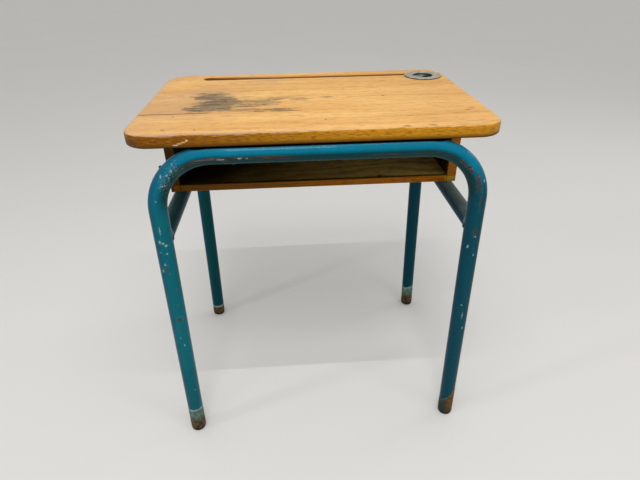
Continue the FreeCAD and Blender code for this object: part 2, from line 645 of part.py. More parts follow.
# ---------------------------------------------------------------- assembly
def build():
    front_screws = arch_screws(ARCH_FRONT_Y)
    rear_screws = arch_screws(ARCH_REAR_Y)
    box_screws = {side: stretcher_screws(side) for side in (-1, 1)}
    end_screws = {side: back_screws(side) for side in (-1, 1)}
    up_screws = {}
    side_screws = {}
    for side in (-1, 1):
        up_screws[side], side_screws[side] = cleat_screws(side)
    plate_screws = hook_screws()

    into_top = front_screws + rear_screws + up_screws[-1] + up_screws[1]
    front_board, middle_board, rear_board = top_boards(into_top)
    nodes = {
        "top_front_board": [front_board],
        "top_middle_board": [middle_board],
        "top_rear_board": [rear_board],
        "front_arch": [arch(ARCH_FRONT_Y)],
        "rear_arch": [arch(ARCH_REAR_Y)],
        "box_bottom": [box_bottom(box_screws[-1] + box_screws[1])],
        "box_front_lipping": [box_lipping()],
        "box_back": [box_back(end_screws[-1] + end_screws[1])],
        "front_arch_screws": front_screws,
        "rear_arch_screws": rear_screws,
        "stretcher_screws": box_screws[-1] + box_screws[1],
        "back_screws": end_screws[-1] + end_screws[1],
        "cleat_top_screws": up_screws[-1] + up_screws[1],
        "cleat_side_screws": side_screws[-1] + side_screws[1],
        "inkwell_flange": [inkwell_flange()],
        "inkwell_cover": [inkwell_cover()],
        "ink_cup": [ink_cup()],
        "cup_snap_ring": [snap_ring()],
        "bag_hook": [bag_hook(plate_screws)],
        "bag_hook_screws": plate_screws,
    }
    for side, name in ((-1, "left"), (1, "right")):
        through_side = box_screws[side] + end_screws[side] + side_screws[side]
        if side < 0:
            through_side = through_side + plate_screws
        nodes[f"{name}_stretcher"] = [stretcher(side)]
        nodes[f"box_{name}_side"] = [box_side(side, through_side)]
        nodes[f"top_cleat_{name}"] = [cleat(side, up_screws[side] + side_screws[side])]
        nodes[f"glide_front_{name}"] = [glide(side, ARCH_FRONT_Y)]
        nodes[f"glide_rear_{name}"] = [glide(side, ARCH_REAR_Y)]
    return nodes


def export(nodes):
    """Write one file per node, with the origin moved from the frame's middle to the top's."""
    os.makedirs("parts", exist_ok=True)
    for name, solids in nodes.items():
        for solid in solids:
            solid.translate(Vector(FRAME_OFFSET, 0, 0))
        shape = solids[0] if len(solids) == 1 else Part.makeCompound(solids)
        if not shape.isValid():
            raise ValueError(f"{name} isn't a valid shape")
        shape.exportStep(f"parts/{name}.step")


export(build())
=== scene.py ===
"""A worn single-seat school desk: oak top, teal enamelled tube frame, brown book box and metal inkwell."""

import math

import bmesh
import bpy
from mathutils import Matrix, Vector


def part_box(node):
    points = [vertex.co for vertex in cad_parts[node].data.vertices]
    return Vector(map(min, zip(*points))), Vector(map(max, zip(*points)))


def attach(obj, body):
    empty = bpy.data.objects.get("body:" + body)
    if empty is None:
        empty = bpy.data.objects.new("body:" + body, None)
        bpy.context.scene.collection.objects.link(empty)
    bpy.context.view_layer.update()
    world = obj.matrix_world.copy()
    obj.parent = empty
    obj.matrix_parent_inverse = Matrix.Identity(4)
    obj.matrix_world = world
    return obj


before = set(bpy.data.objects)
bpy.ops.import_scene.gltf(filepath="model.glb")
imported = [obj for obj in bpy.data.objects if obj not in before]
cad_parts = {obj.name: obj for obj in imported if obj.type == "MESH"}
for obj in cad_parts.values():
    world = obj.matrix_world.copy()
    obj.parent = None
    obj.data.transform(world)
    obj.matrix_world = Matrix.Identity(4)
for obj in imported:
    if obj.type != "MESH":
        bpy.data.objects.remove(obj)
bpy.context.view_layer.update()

# ---------------- places and sizes, in metres
# The camera: a phone's wide lens, held at an adult's chest and tipped down.
IMAGE_WIDTH = 640
CAMERA_FOCAL_PIXELS = 470.905
CAMERA_PLACE = Vector((-0.03675, -0.82774, 0.82318))
CAMERA_TURN = 0.0598
CAMERA_TIP = 0.5439
CAMERA_ROLL = -0.0145

# The tube frame. Its middle is a little to the right of the top's.
FRONT_ARCH_LOW, FRONT_ARCH_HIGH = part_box("front_arch")
REAR_ARCH_LOW, REAR_ARCH_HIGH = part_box("rear_arch")
FRAME_MIDDLE_X = (FRONT_ARCH_LOW.x + FRONT_ARCH_HIGH.x) / 2
TUBE_RADIUS = (FRONT_ARCH_HIGH.y - FRONT_ARCH_LOW.y) / 2
FRONT_ARCH_Y = (FRONT_ARCH_LOW.y + FRONT_ARCH_HIGH.y) / 2
REAR_ARCH_Y = (REAR_ARCH_LOW.y + REAR_ARCH_HIGH.y) / 2
CROWN_HEIGHT = FRONT_ARCH_HIGH.z - TUBE_RADIUS
BEND_RADIUS = 0.089
BEND_CENTRE_X = 0.157
BEND_CENTRE_Z = CROWN_HEIGHT - BEND_RADIUS
LEG_SPLAY = math.radians(1.15)
GLIDE_LOW, GLIDE_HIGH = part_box("glide_front_right")
FOOT_REACH = (GLIDE_LOW.x + GLIDE_HIGH.x) / 2 - FRAME_MIDDLE_X
TUBE_END = FRONT_ARCH_LOW.z

# The writing top and its pen groove.
FRONT_BOARD_LOW, FRONT_BOARD_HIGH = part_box("top_front_board")
REAR_BOARD_LOW, REAR_BOARD_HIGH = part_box("top_rear_board")
TOP_HEIGHT = FRONT_BOARD_HIGH.z
TOP_UNDERSIDE = FRONT_BOARD_LOW.z
TOP_FRONT_Y = FRONT_BOARD_LOW.y
FRONT_JOINT_Y = FRONT_BOARD_HIGH.y
REAR_JOINT_Y = REAR_BOARD_LOW.y
GROOVE_FROM_REAR_EDGE = 0.039
GROOVE_Y = REAR_BOARD_HIGH.y - GROOVE_FROM_REAR_EDGE
GROOVE_HALF_WIDTH = 0.012
GROOVE_FARTHEST_X = 0.256

# The inkwell's cover, whose mouth lies to the right of its middle.
COVER_LOW, COVER_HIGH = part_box("inkwell_cover")
COVER_MIDDLE = (COVER_LOW + COVER_HIGH) / 2
MOUTH_OFFSET = 0.0095
COVER_MOUTH = Vector((COVER_MIDDLE.x + MOUTH_OFFSET, COVER_MIDDLE.y, COVER_HIGH.z))

# ---------------- colours, linear
OAK_PALE = (0.90, 0.535, 0.185, 1)
OAK_HONEY = (0.78, 0.425, 0.130, 1)
OAK_GRAIN = (0.45, 0.205, 0.055, 1)
OAK_PORE = (0.24, 0.11, 0.04, 1)
OAK_ROSE = (0.50, 0.31, 0.20, 1)
AMBER_GOLD = (0.60, 0.262, 0.010, 1)
AMBER_BROWN = (0.225, 0.072, 0.001, 1)
AMBER_DARK = (0.105, 0.040, 0.002, 1)
SHADE_BLACK = (0.002, 0.0015, 0.001, 1)
GROOVE_BROWN = (0.17, 0.055, 0.006, 1)
GROOVE_SHADE = (0.085, 0.027, 0.004, 1)
GROOVE_ORANGE = (0.72, 0.32, 0.085, 1)
STAIN_GREY = (0.185, 0.165, 0.115, 1)
STAIN_BLACK = (0.036, 0.033, 0.028, 1)
CRACK_BROWN = (0.075, 0.030, 0.012, 1)
BARE_WOOD = (0.76, 0.54, 0.27, 1)
BOX_ORANGE = (0.46, 0.150, 0.002, 1)
BOX_BROWN = (0.165, 0.066, 0.002, 1)
BOX_DARK = (0.060, 0.022, 0.002, 1)
BOX_FLOOR_PAINTED_LIGHT = (1.0, 0.76, 0.20, 1)
BOX_CORNER = (0.52, 0.30, 0.030, 1)
BOX_SHADE = (0.032, 0.016, 0.003, 1)
BOX_GRIME_AND_SHADE = (0.016, 0.010, 0.004, 1)
BOX_DUST = (0.40, 0.28, 0.14, 1)
TEAL = (0.0002, 0.185, 0.300, 1)
TEAL_LEG = (0.0002, 0.185, 0.240, 1)
TEAL_DEEP = (0.0002, 0.046, 0.082, 1)
TEAL_SHADE = (0.0002, 0.034, 0.032, 1)
TEAL_LEFT_SHADE = (0.0002, 0.060, 0.130, 1)
TEAL_LOW_SHADE = (0.0002, 0.052, 0.058, 1)
TEAL_REAR_SHADE = (0.0002, 0.070, 0.078, 1)
DUST_GREY = (0.40, 0.47, 0.40, 1)
CHIP_PALE = (0.42, 0.49, 0.44, 1)
RUST_BROWN = (0.105, 0.032, 0.013, 1)
RUST_DARK = (0.034, 0.021, 0.013, 1)
RUST_ORANGE = (0.26, 0.100, 0.030, 1)
SCRAPE_BROWN = (0.062, 0.044, 0.042, 1)
FOOT_GREY = (0.15, 0.21, 0.16, 1)
FOOT_GREEN = (0.045, 0.120, 0.115, 1)
FOOT_BROWN = (0.125, 0.080, 0.030, 1)
FOOT_OCHRE = (0.150, 0.078, 0.014, 1)
INK_BLACK = (0.002, 0.002, 0.003, 1)
CRUST_DARK = (0.002, 0.002, 0.006, 1)
CRUST_BLUE = (0.010, 0.010, 0.022, 1)
METAL_GRIME = (0.02, 0.018, 0.014, 1)
FLANGE_GREY = (0.30, 0.29, 0.22, 1)
FLANGE_BRIGHT = (0.56, 0.54, 0.44, 1)
COVER_GREY = (0.12, 0.12, 0.125, 1)
COVER_BRIGHT = (0.42, 0.42, 0.43, 1)
CUP_BLACK = (0.003, 0.003, 0.004, 1)
CUP_WORN = (0.012, 0.012, 0.012, 1)
ZINC_GREY = (0.20, 0.18, 0.15, 1)
ZINC_BRIGHT = (0.40, 0.38, 0.35, 1)
IRON_BLACK = (0.002, 0.002, 0.003, 1)
IRON_WORN = (0.012, 0.011, 0.011, 1)
GLIDE_BLACK = (0.006, 0.006, 0.007, 1)
GLIDE_SCUFF = (0.11, 0.09, 0.07, 1)
FLOOR_GREY = (0.79, 0.78, 0.76, 1)
FLOOR_PALE = (0.82, 0.81, 0.79, 1)
ROOM_PALE = (1.0, 0.99, 0.97, 1)


# ---------------- laying out nodes
class Steps:
    """Lays out the steps of one material or one effect, and joins each to what feeds it."""

    def __init__(self, tree):
        self.tree = tree

    def step(self, kind, feeds, **choices):
        node = self.tree.nodes.new(kind)
        for name, choice in choices.items():
            setattr(node, name, choice)
        for name, value in feeds.items():
            self.feed(node.inputs[name], value)
        return node

    def feed(self, socket, value):
        if isinstance(value, bpy.types.NodeSocket):
            self.tree.links.new(value, socket)
        else:
            socket.default_value = value

    def effect(self, group, **feeds):
        """Places a node group fed by name (underscores stand for spaces), and gives its outputs."""
        node = self.step("ShaderNodeGroup", {}, node_tree=group)
        for name, value in feeds.items():
            self.feed(node.inputs[name.replace("_", " ")], value)
        return node.outputs

    def number(self, operation, first, second=0.0):
        return self.step("ShaderNodeMath", {0: first, 1: second}, operation=operation).outputs[0]

    def add(self, first, second):
        return self.number("ADD", first, second)

    def less(self, first, second):
        return self.number("SUBTRACT", first, second)

    def apart(self, first, second):
        return self.number("ABSOLUTE", self.less(first, second))

    def times(self, first, second):
        return self.number("MULTIPLY", first, second)

    def most(self, first, second):
        return self.number("MAXIMUM", first, second)

    def vector(self, operation, first, second=(0, 0, 0)):
        node = self.step("ShaderNodeVectorMath", {0: first, 1: second}, operation=operation)
        return node.outputs["Value" if operation == "LENGTH" else "Vector"]

    def parts(self, vector):
        outputs = self.step("ShaderNodeSeparateXYZ", {"Vector": vector}).outputs
        return outputs["X"], outputs["Y"], outputs["Z"]

    def ramp(self, value, at_zero, at_one):
        """0 at at_zero and 1 at at_one, with a smooth slope between; either may be the larger."""
        feeds = {"Value": value, "From Min": at_zero, "From Max": at_one}
        return self.step("ShaderNodeMapRange", feeds, interpolation_type="SMOOTHSTEP").outputs["Result"]

    def between(self, share, low, high):
        """low where share is 0, high where it is 1."""
        feeds = {"Value": share, "To Min": low, "To Max": high}
        return self.step("ShaderNodeMapRange", feeds).outputs["Result"]

    def colour(self, mask, under, over, most=1.0):
        """under where the mask is 0 and, where it is 1, as much of over as most says."""
        share = mask if most == 1.0 else self.times(mask, most)
        return self.step("ShaderNodeMix", {0: share, 6: under, 7: over}, data_type="RGBA").outputs[2]

    def stretch(self, place, scale, shift=(0, 0, 0), turn=(0, 0, 0)):
        feeds = {"Vector": place, "Location": shift, "Rotation": turn, "Scale": scale}
        return self.step("ShaderNodeMapping", feeds).outputs[0]

    def noise(self, place, scale=1.0, detail=3.0, roughness=0.55):
        """Random numbers that change so many times a metre: scale is one number, or one for each axis."""
        if isinstance(scale, tuple):
            place = self.stretch(place, scale)
            scale = 1.0
        feeds = {"Vector": place, "Scale": scale, "Detail": detail, "Roughness": roughness}
        return self.step("ShaderNodeTexNoise", feeds).outputs[0]

    def scatter(self, place, detail, roughness):
        """Three random numbers, from -0.5 to 0.5, that change smoothly from place to place."""
        feeds = {"Vector": place, "Scale": 1.0, "Detail": detail, "Roughness": roughness}
        random = self.step("ShaderNodeTexNoise", feeds).outputs["Color"]
        return self.vector("SUBTRACT", random, (0.5, 0.5, 0.5))

    def jitter(self, place, often, reach):
        """The place moved about at random, so that what is drawn on it gets ragged edges.

        often is how many times a metre the movement changes along each axis, and reach how far it goes.
        """
        offset = self.scatter(self.stretch(place, often), 4.0, 0.65)
        far = self.vector("MULTIPLY", offset, tuple(2 * distance for distance in reach))
        return self.vector("ADD", place, far)


def new_effect(name, vectors, numbers, gives):
    """An empty node group that takes vectors and numbers, and gives numbers, all by name.

    Returns its steps, the sockets of what it takes and the sockets of what it gives.
    """
    tree = bpy.data.node_groups.new(name, "ShaderNodeTree")
    for socket_name in vectors:
        tree.interface.new_socket(name=socket_name, in_out="INPUT", socket_type="NodeSocketVector")
    for socket_name in numbers:
        tree.interface.new_socket(name=socket_name, in_out="INPUT", socket_type="NodeSocketFloat")
    for socket_name in gives:
        tree.interface.new_socket(name=socket_name, in_out="OUTPUT", socket_type="NodeSocketFloat")
    steps = Steps(tree)
    entry = steps.step("NodeGroupInput", {}).outputs
    results = steps.step("NodeGroupOutput", {}).inputs
    return steps, entry, results


def new_material(name):
    """An empty material: its steps, its surface shader's inputs, the object's place and its facing."""
    material = bpy.data.materials.new(name)
    material.use_nodes = True
    material.node_tree.nodes.clear()
    steps = Steps(material.node_tree)
    shader = steps.step("ShaderNodeBsdfPrincipled", {})
    steps.step("ShaderNodeOutputMaterial", {"Surface": shader.outputs[0]})
    coordinates = steps.step("ShaderNodeTexCoord", {}).outputs
    return material, steps, shader.inputs, coordinates["Object"], coordinates["Normal"]


def relief(steps, surface, height, depth):
    """Raises and lowers the surface by a height map that is depth metres from black to white."""
    feeds = {"Height": height, "Distance": depth, "Strength": 1.0}
    steps.feed(surface["Normal"], steps.step("ShaderNodeBump", feeds).outputs[0])


# ---------------- effects that materials share
def make_nearest_mark():
    """How far a place is from a mark, 1 being the mark's reach, or from the marks before it if nearer."""
    vectors = ["Place", "Centre", "Reach"]
    steps, entry, results = new_effect("nearest_mark", vectors, ["So Far"], ["Distance"])
    away = steps.vector("SUBTRACT", entry["Place"], entry["Centre"])
    share = steps.vector("DIVIDE", away, entry["Reach"])
    steps.feed(results["Distance"], steps.number("MINIMUM", steps.vector("LENGTH", share), entry["So Far"]))
    return steps.tree


def make_wood_grain():
    """Growth rings, flecks, pores and fibres of a board whose trunk lies along X."""
    gives = ["Rings", "Flecks", "Pores", "Fibres", "Drift", "Height"]
    steps, entry, results = new_effect("wood_grain", ["Place", "Heart"], ["Ring Width", "Wander"], gives)
    place = entry["Place"]
    slow = steps.scatter(steps.stretch(place, (1.7, 7.0, 7.0)), 3.0, 0.5)
    scale = steps.step("ShaderNodeCombineXYZ", {axis: entry["Wander"] for axis in range(3)})
    wander = steps.vector("MULTIPLY", slow, scale.outputs[0])
    from_heart = steps.vector("ADD", steps.vector("SUBTRACT", place, entry["Heart"]), wander)
    across = steps.vector("LENGTH", steps.vector("MULTIPLY", from_heart, (0.02, 1.0, 1.0)))
    turns = steps.number("FRACT", steps.number("DIVIDE", across, entry["Ring Width"]))
    early = steps.most(steps.ramp(turns, 0.5, 0.0), steps.ramp(turns, 0.9, 1.0))
    patchy = steps.ramp(steps.noise(place, (9.0, 60.0, 60.0), detail=2.0), 0.35, 0.65)
    short = steps.noise(place, (62.0, 430.0, 430.0), detail=4.0, roughness=0.58)
    flecks = steps.times(steps.ramp(short, 0.52, 0.64), steps.between(patchy, 0.40, 1.0))
    pore_noise = steps.noise(place, (95.0, 1500.0, 1500.0), detail=1.0)
    pores = steps.times(steps.ramp(pore_noise, 0.56, 0.70), steps.between(early, 0.25, 1.0))
    fibres = steps.noise(place, (16.0, 420.0, 420.0), detail=4.0, roughness=0.62)
    drift = steps.noise(steps.stretch(place, (2.4, 24.0, 24.0), shift=(3.1, 0.0, 0.0)))
    raised = steps.less(steps.times(fibres, 0.5), steps.times(pores, 0.7))
    raised = steps.less(raised, steps.times(flecks, 0.3))
    steps.feed(results["Rings"], early)
    steps.feed(results["Flecks"], flecks)
    steps.feed(results["Pores"], pores)
    steps.feed(results["Fibres"], fibres)
    steps.feed(results["Drift"], drift)
    steps.feed(results["Height"], steps.less(raised, steps.times(early, 0.2)))
    return steps.tree


def make_scratches():
    """Fine straight scratches in two directions, few and faint."""
    steps, entry, results = new_effect("scratches", ["Place"], ["Amount"], ["Mask"])
    limit = steps.between(entry["Amount"], 0.80, 0.58)
    fade = steps.add(limit, 0.05)
    found = None
    for turn in ((0.3, 0.2, 0.5), (-0.2, 0.4, -0.9)):
        turned = steps.stretch(entry["Place"], (1, 1, 1), turn=turn)
        lines = steps.noise(turned, (26.0, 1300.0, 1300.0), detail=1.0)
        mask = steps.ramp(lines, limit, fade)
        found = mask if found is None else steps.most(found, mask)
    steps.feed(results["Mask"], found)
    return steps.tree


def make_chipping():
    """Where enamel has flaked: small pale chips, and larger ragged spots that have rusted."""
    steps, entry, results = new_effect("chipping", ["Place"], ["Amount"], ["Pale", "Rust"])
    place = entry["Place"]
    gathered = steps.ramp(steps.noise(place, 14.0, detail=2.0), 0.46, 0.70)
    pull = steps.times(steps.times(gathered, entry["Amount"]), 0.16)
    small = steps.add(steps.noise(place, 420.0, detail=4.0, roughness=0.7), pull)
    steps.feed(results["Pale"], steps.ramp(small, 0.775, 0.800))
    large = steps.stretch(place, (1, 1, 0.7), shift=(5, 3, 1))
    large = steps.add(steps.noise(large, 150.0, detail=6.0, roughness=0.72), pull)
    steps.feed(results["Rust"], steps.ramp(large, 0.775, 0.800))
    return steps.tree


def make_settled_dust():
    """Dust that lies where a surface faces up, thin and patchy."""
    steps, entry, results = new_effect("settled_dust", ["Place", "Facing"], ["Amount"], ["Mask"])
    up = steps.ramp(steps.parts(entry["Facing"])[2], 0.25, 1.0)
    patchy = steps.between(steps.noise(entry["Place"], 55.0, detail=5.0, roughness=0.7), 0.6, 1.2)
    steps.feed(results["Mask"], steps.times(steps.times(up, patchy), entry["Amount"]))
    return steps.tree


NEAREST_MARK = make_nearest_mark()
WOOD_GRAIN = make_wood_grain()
SCRATCHES = make_scratches()
CHIPPING = make_chipping()
SETTLED_DUST = make_settled_dust()


FAR_FROM_ANY_MARK = 10.0


def marks(steps, place, spots):
    """Distance to the nearest of a list of spots, each (centre, reach), 1 being its reach."""
    distance = FAR_FROM_ANY_MARK
    for centre, reach in spots:
        found = steps.effect(NEAREST_MARK, Place=place, Centre=centre, Reach=reach, So_Far=distance)
        distance = found["Distance"]
    return distance


# ---------------- the oak top
# A spot's x is measured from the frame's middle, and its reach is half its size.
# On the writing surface each is (x, y, reach along x, reach along y).
STAIN_CORE = [
    (-0.163, -0.036, 0.036, 0.034), (-0.182, -0.067, 0.028, 0.018), (-0.178, 0.008, 0.028, 0.026),
    (-0.148, -0.014, 0.02, 0.028), (-0.062, -0.08, 0.016, 0.006), (-0.149, -0.058, 0.022, 0.024),
    (-0.136, -0.024, 0.014, 0.028),
]
STAIN_EDGE = [
    (-0.176, 0.026, 0.034, 0.018), (-0.118, -0.036, 0.042, 0.04), (-0.084, -0.034, 0.034, 0.034),
    (-0.064, -0.079, 0.034, 0.01), (-0.11, -0.076, 0.036, 0.012), (-0.2, -0.062, 0.014, 0.016),
    (-0.058, -0.01, 0.04, 0.01), (-0.02, -0.022, 0.024, 0.007), (0.014, -0.011, 0.026, 0.005),
]
DARK_MARKS = [
    (0.0258, -0.0128, 0.01, 0.0022), (0.12, -0.0125, 0.003, 0.0022), (0.243, -0.104, 0.008, 0.0016),
    (0.236, -0.113, 0.006, 0.0016), (0.0119, -0.141, 0.0016, 0.0022),
    (0.1246, -0.183, 0.006, 0.0024), (0.162, -0.1815, 0.007, 0.0018),
    (-0.219, -0.103, 0.0022, 0.0018), (-0.188, -0.097, 0.0014, 0.0014),
    (-0.221, -0.167, 0.0026, 0.0022), (-0.176, -0.17, 0.0022, 0.0018),
    (-0.113, 0.004, 0.012, 0.0016), (0.2, 0.066, 0.016, 0.001), (0.176, 0.057, 0.012, 0.0009),
    (-0.1923, 0.0372, 0.006, 0.0022), (-0.169, 0.03, 0.0056, 0.0026),
    (-0.199, -0.003, 0.003, 0.0022), (-0.14, -0.075, 0.007, 0.002), (-0.208, -0.054, 0.0022, 0.0026),
]
PALE_MARKS = [(-0.1803, 0.1161, 0.003, 0.0034), (-0.091, -0.1815, 0.006, 0.0022)]
# On the top's front edge each is (x, z, reach along x, reach along z).
EDGE_SCRAPE = [
    (-0.201, 0.6004, 0.0042, 0.0009), (-0.1955, 0.6022, 0.004, 0.001),
    (-0.1895, 0.6042, 0.0034, 0.0009), (-0.185, 0.6066, 0.0022, 0.0018),
]


SURFACE_MARK_DEPTH = 0.006
EDGE_MARK_DEPTH = 0.004


def facing_up(spots, z=TOP_HEIGHT, depth=SURFACE_MARK_DEPTH):
    """Spots on a level surface, as places and reaches in space."""
    return [((x + FRAME_MIDDLE_X, y, z), (rx, ry, depth)) for x, y, rx, ry in spots]


def facing_front(spots, y, depth):
    """Spots on a surface that faces the front, as places and reaches in space."""
    return [((x + FRAME_MIDDLE_X, y, z), (rx, depth, rz)) for x, z, rx, rz in spots]


def joint_crack(steps, place, joint_y, opened):
    """A dark line that wanders along a glued joint, as far as it has opened."""
    y = steps.parts(place)[1]
    wave = steps.times(steps.less(steps.noise(place, 22.0), 0.5), 0.0032)
    off_line = steps.apart(steps.add(y, wave), joint_y)
    return steps.times(steps.ramp(off_line, 0.0024, 0.0008), opened)


def make_top_marks():
    """Every stain, crack and knock on the top, by where it is."""
    gives = ["Grey", "Black", "Crack", "Pale"]
    steps, entry, results = new_effect("top_marks", ["Place"], [], gives)
    place = entry["Place"]
    x = steps.parts(place)[0]
    streaky = steps.jitter(place, (14.0, 130.0, 1.0), (0.020, 0.005, 0.0))
    tight = steps.jitter(place, (500.0, 500.0, 500.0), (0.0012, 0.0012, 0.0012))

    core = steps.ramp(marks(steps, streaky, facing_up(STAIN_CORE)), 1.35, 0.55)
    edge = steps.ramp(marks(steps, streaky, facing_up(STAIN_EDGE)), 1.40, 0.30)
    stain = steps.most(core, steps.times(edge, 0.84))
    broad = steps.noise(place, (22.0, 130.0, 60.0), roughness=0.65)
    fine = steps.noise(place, (60.0, 230.0, 60.0), roughness=0.60)
    streaks = steps.less(steps.add(steps.times(broad, 0.70), steps.times(fine, 0.30)), 0.5)
    grey = steps.add(steps.times(stain, 0.68), steps.times(streaks, 3.6))
    black = steps.add(steps.times(stain, 0.54), steps.times(streaks, -6.4))

    broken = steps.ramp(steps.noise(place, (30.0, 2.0, 2.0), detail=4.0), 0.42, 0.56)
    left_end = steps.ramp(x, -0.15, -0.19)
    under_stain = steps.times(broken, steps.ramp(x, 0.03, -0.05))
    crack = joint_crack(steps, place, FRONT_JOINT_Y, steps.most(left_end, under_stain))
    rear_crack = joint_crack(steps, place, REAR_JOINT_Y, steps.times(broken, 0.22))

    knocks = steps.ramp(marks(steps, tight, facing_up(DARK_MARKS)), 1.2, 0.7)
    edge_scrape = facing_front(EDGE_SCRAPE, TOP_FRONT_Y, EDGE_MARK_DEPTH)
    scraped = marks(steps, tight, facing_up(PALE_MARKS) + edge_scrape)
    grey = steps.times(steps.ramp(grey, 0.30, 0.78), steps.ramp(stain, 0.0, 0.25))
    steps.feed(results["Grey"], steps.times(grey, steps.between(core, 0.75, 1.0)))
    black = steps.times(steps.ramp(black, 0.52, 0.86), steps.ramp(stain, 0.0, 0.25))
    steps.feed(results["Black"], steps.most(black, steps.times(knocks, 0.85)))
    steps.feed(results["Crack"], steps.most(crack, rear_crack))
    steps.feed(results["Pale"], steps.times(steps.ramp(scraped, 1.15, 0.75), 0.8))
    return steps.tree


TOP_MARKS = make_top_marks()


def worn_oak(steps, place, grain):
    """The colour of oak whose varnish has worn off: pale, with short darker flecks."""
    x = steps.parts(place)[0]
    pale = steps.colour(steps.ramp(grain["Drift"], 0.34, 0.66), OAK_PALE, OAK_HONEY)
    pale = steps.colour(grain["Rings"], pale, OAK_GRAIN, 0.12)
    pale = steps.colour(steps.ramp(grain["Fibres"], 0.46, 0.72), pale, OAK_GRAIN, 0.22)
    pale = steps.colour(grain["Flecks"], pale, OAK_GRAIN, 0.72)
    pale = steps.colour(grain["Pores"], pale, OAK_PORE, 0.34)
    pale = steps.colour(steps.ramp(x, 0.02, 0.26), pale, OAK_GRAIN, 0.18)
    blush = steps.ramp(steps.add(steps.noise(place, 7.0), steps.times(x, -0.9)), 0.50, 0.85)
    return steps.colour(blush, pale, OAK_ROSE, 0.40)


def kept_varnish(steps, place, grain):
    """The colour of the amber varnish left on the edges: browner to the left, with painted shade on its
    lower part, its left corner and its lower arris.
    """
    x, _, z = steps.parts(place)
    amber = steps.colour(steps.ramp(x, -0.26, 0.11), AMBER_BROWN, AMBER_GOLD)
    short = steps.noise(place, (95.0, 95.0, 760.0), roughness=0.60)
    darkest = steps.between(steps.ramp(x, -0.15, 0.20), 0.62, 0.50)
    amber = steps.colour(steps.ramp(short, 0.46, 0.30), amber, AMBER_GOLD, 0.60)
    amber = steps.colour(steps.times(steps.ramp(short, 0.46, 0.62), darkest), amber, AMBER_DARK)
    amber = steps.colour(grain["Pores"], amber, AMBER_DARK, 0.5)
    ragged = steps.add(z, steps.times(steps.less(short, 0.5), 0.006))
    # Painted shade: the lower part of the front edge, and its left corner below the arris, are darkened.
    low = steps.ramp(ragged, TOP_UNDERSIDE + 0.0080, TOP_UNDERSIDE + 0.0020)
    below_arris = steps.ramp(ragged, TOP_HEIGHT - 0.004, TOP_HEIGHT - 0.010)
    left_corner_shade = steps.times(steps.ramp(x, -0.236, -0.264), below_arris)
    amber = steps.colour(steps.most(low, left_corner_shade), amber, AMBER_DARK, 0.85)
    # Painted shade: near black along the lower arris.
    return steps.colour(steps.ramp(z, TOP_UNDERSIDE + 0.0022, TOP_UNDERSIDE + 0.0008), amber, SHADE_BLACK)


def inside_groove(steps, place):
    """1 on the walls and the bottom of the pen groove."""
    x, y, z = steps.parts(place)
    off_middle = steps.apart(y, GROOVE_Y)
    across = steps.ramp(off_middle, GROOVE_HALF_WIDTH + 0.0008, GROOVE_HALF_WIDTH + 0.0002)
    sunk = steps.ramp(z, TOP_HEIGHT - 0.0001, TOP_HEIGHT - 0.0005)
    clear_of_ends = steps.ramp(steps.number("ABSOLUTE", x), GROOVE_FARTHEST_X + 0.006, GROOVE_FARTHEST_X)
    above_underside = steps.ramp(z, TOP_UNDERSIDE + 0.004, TOP_UNDERSIDE + 0.006)
    return steps.times(steps.times(across, sunk), steps.times(clear_of_ends, above_underside))


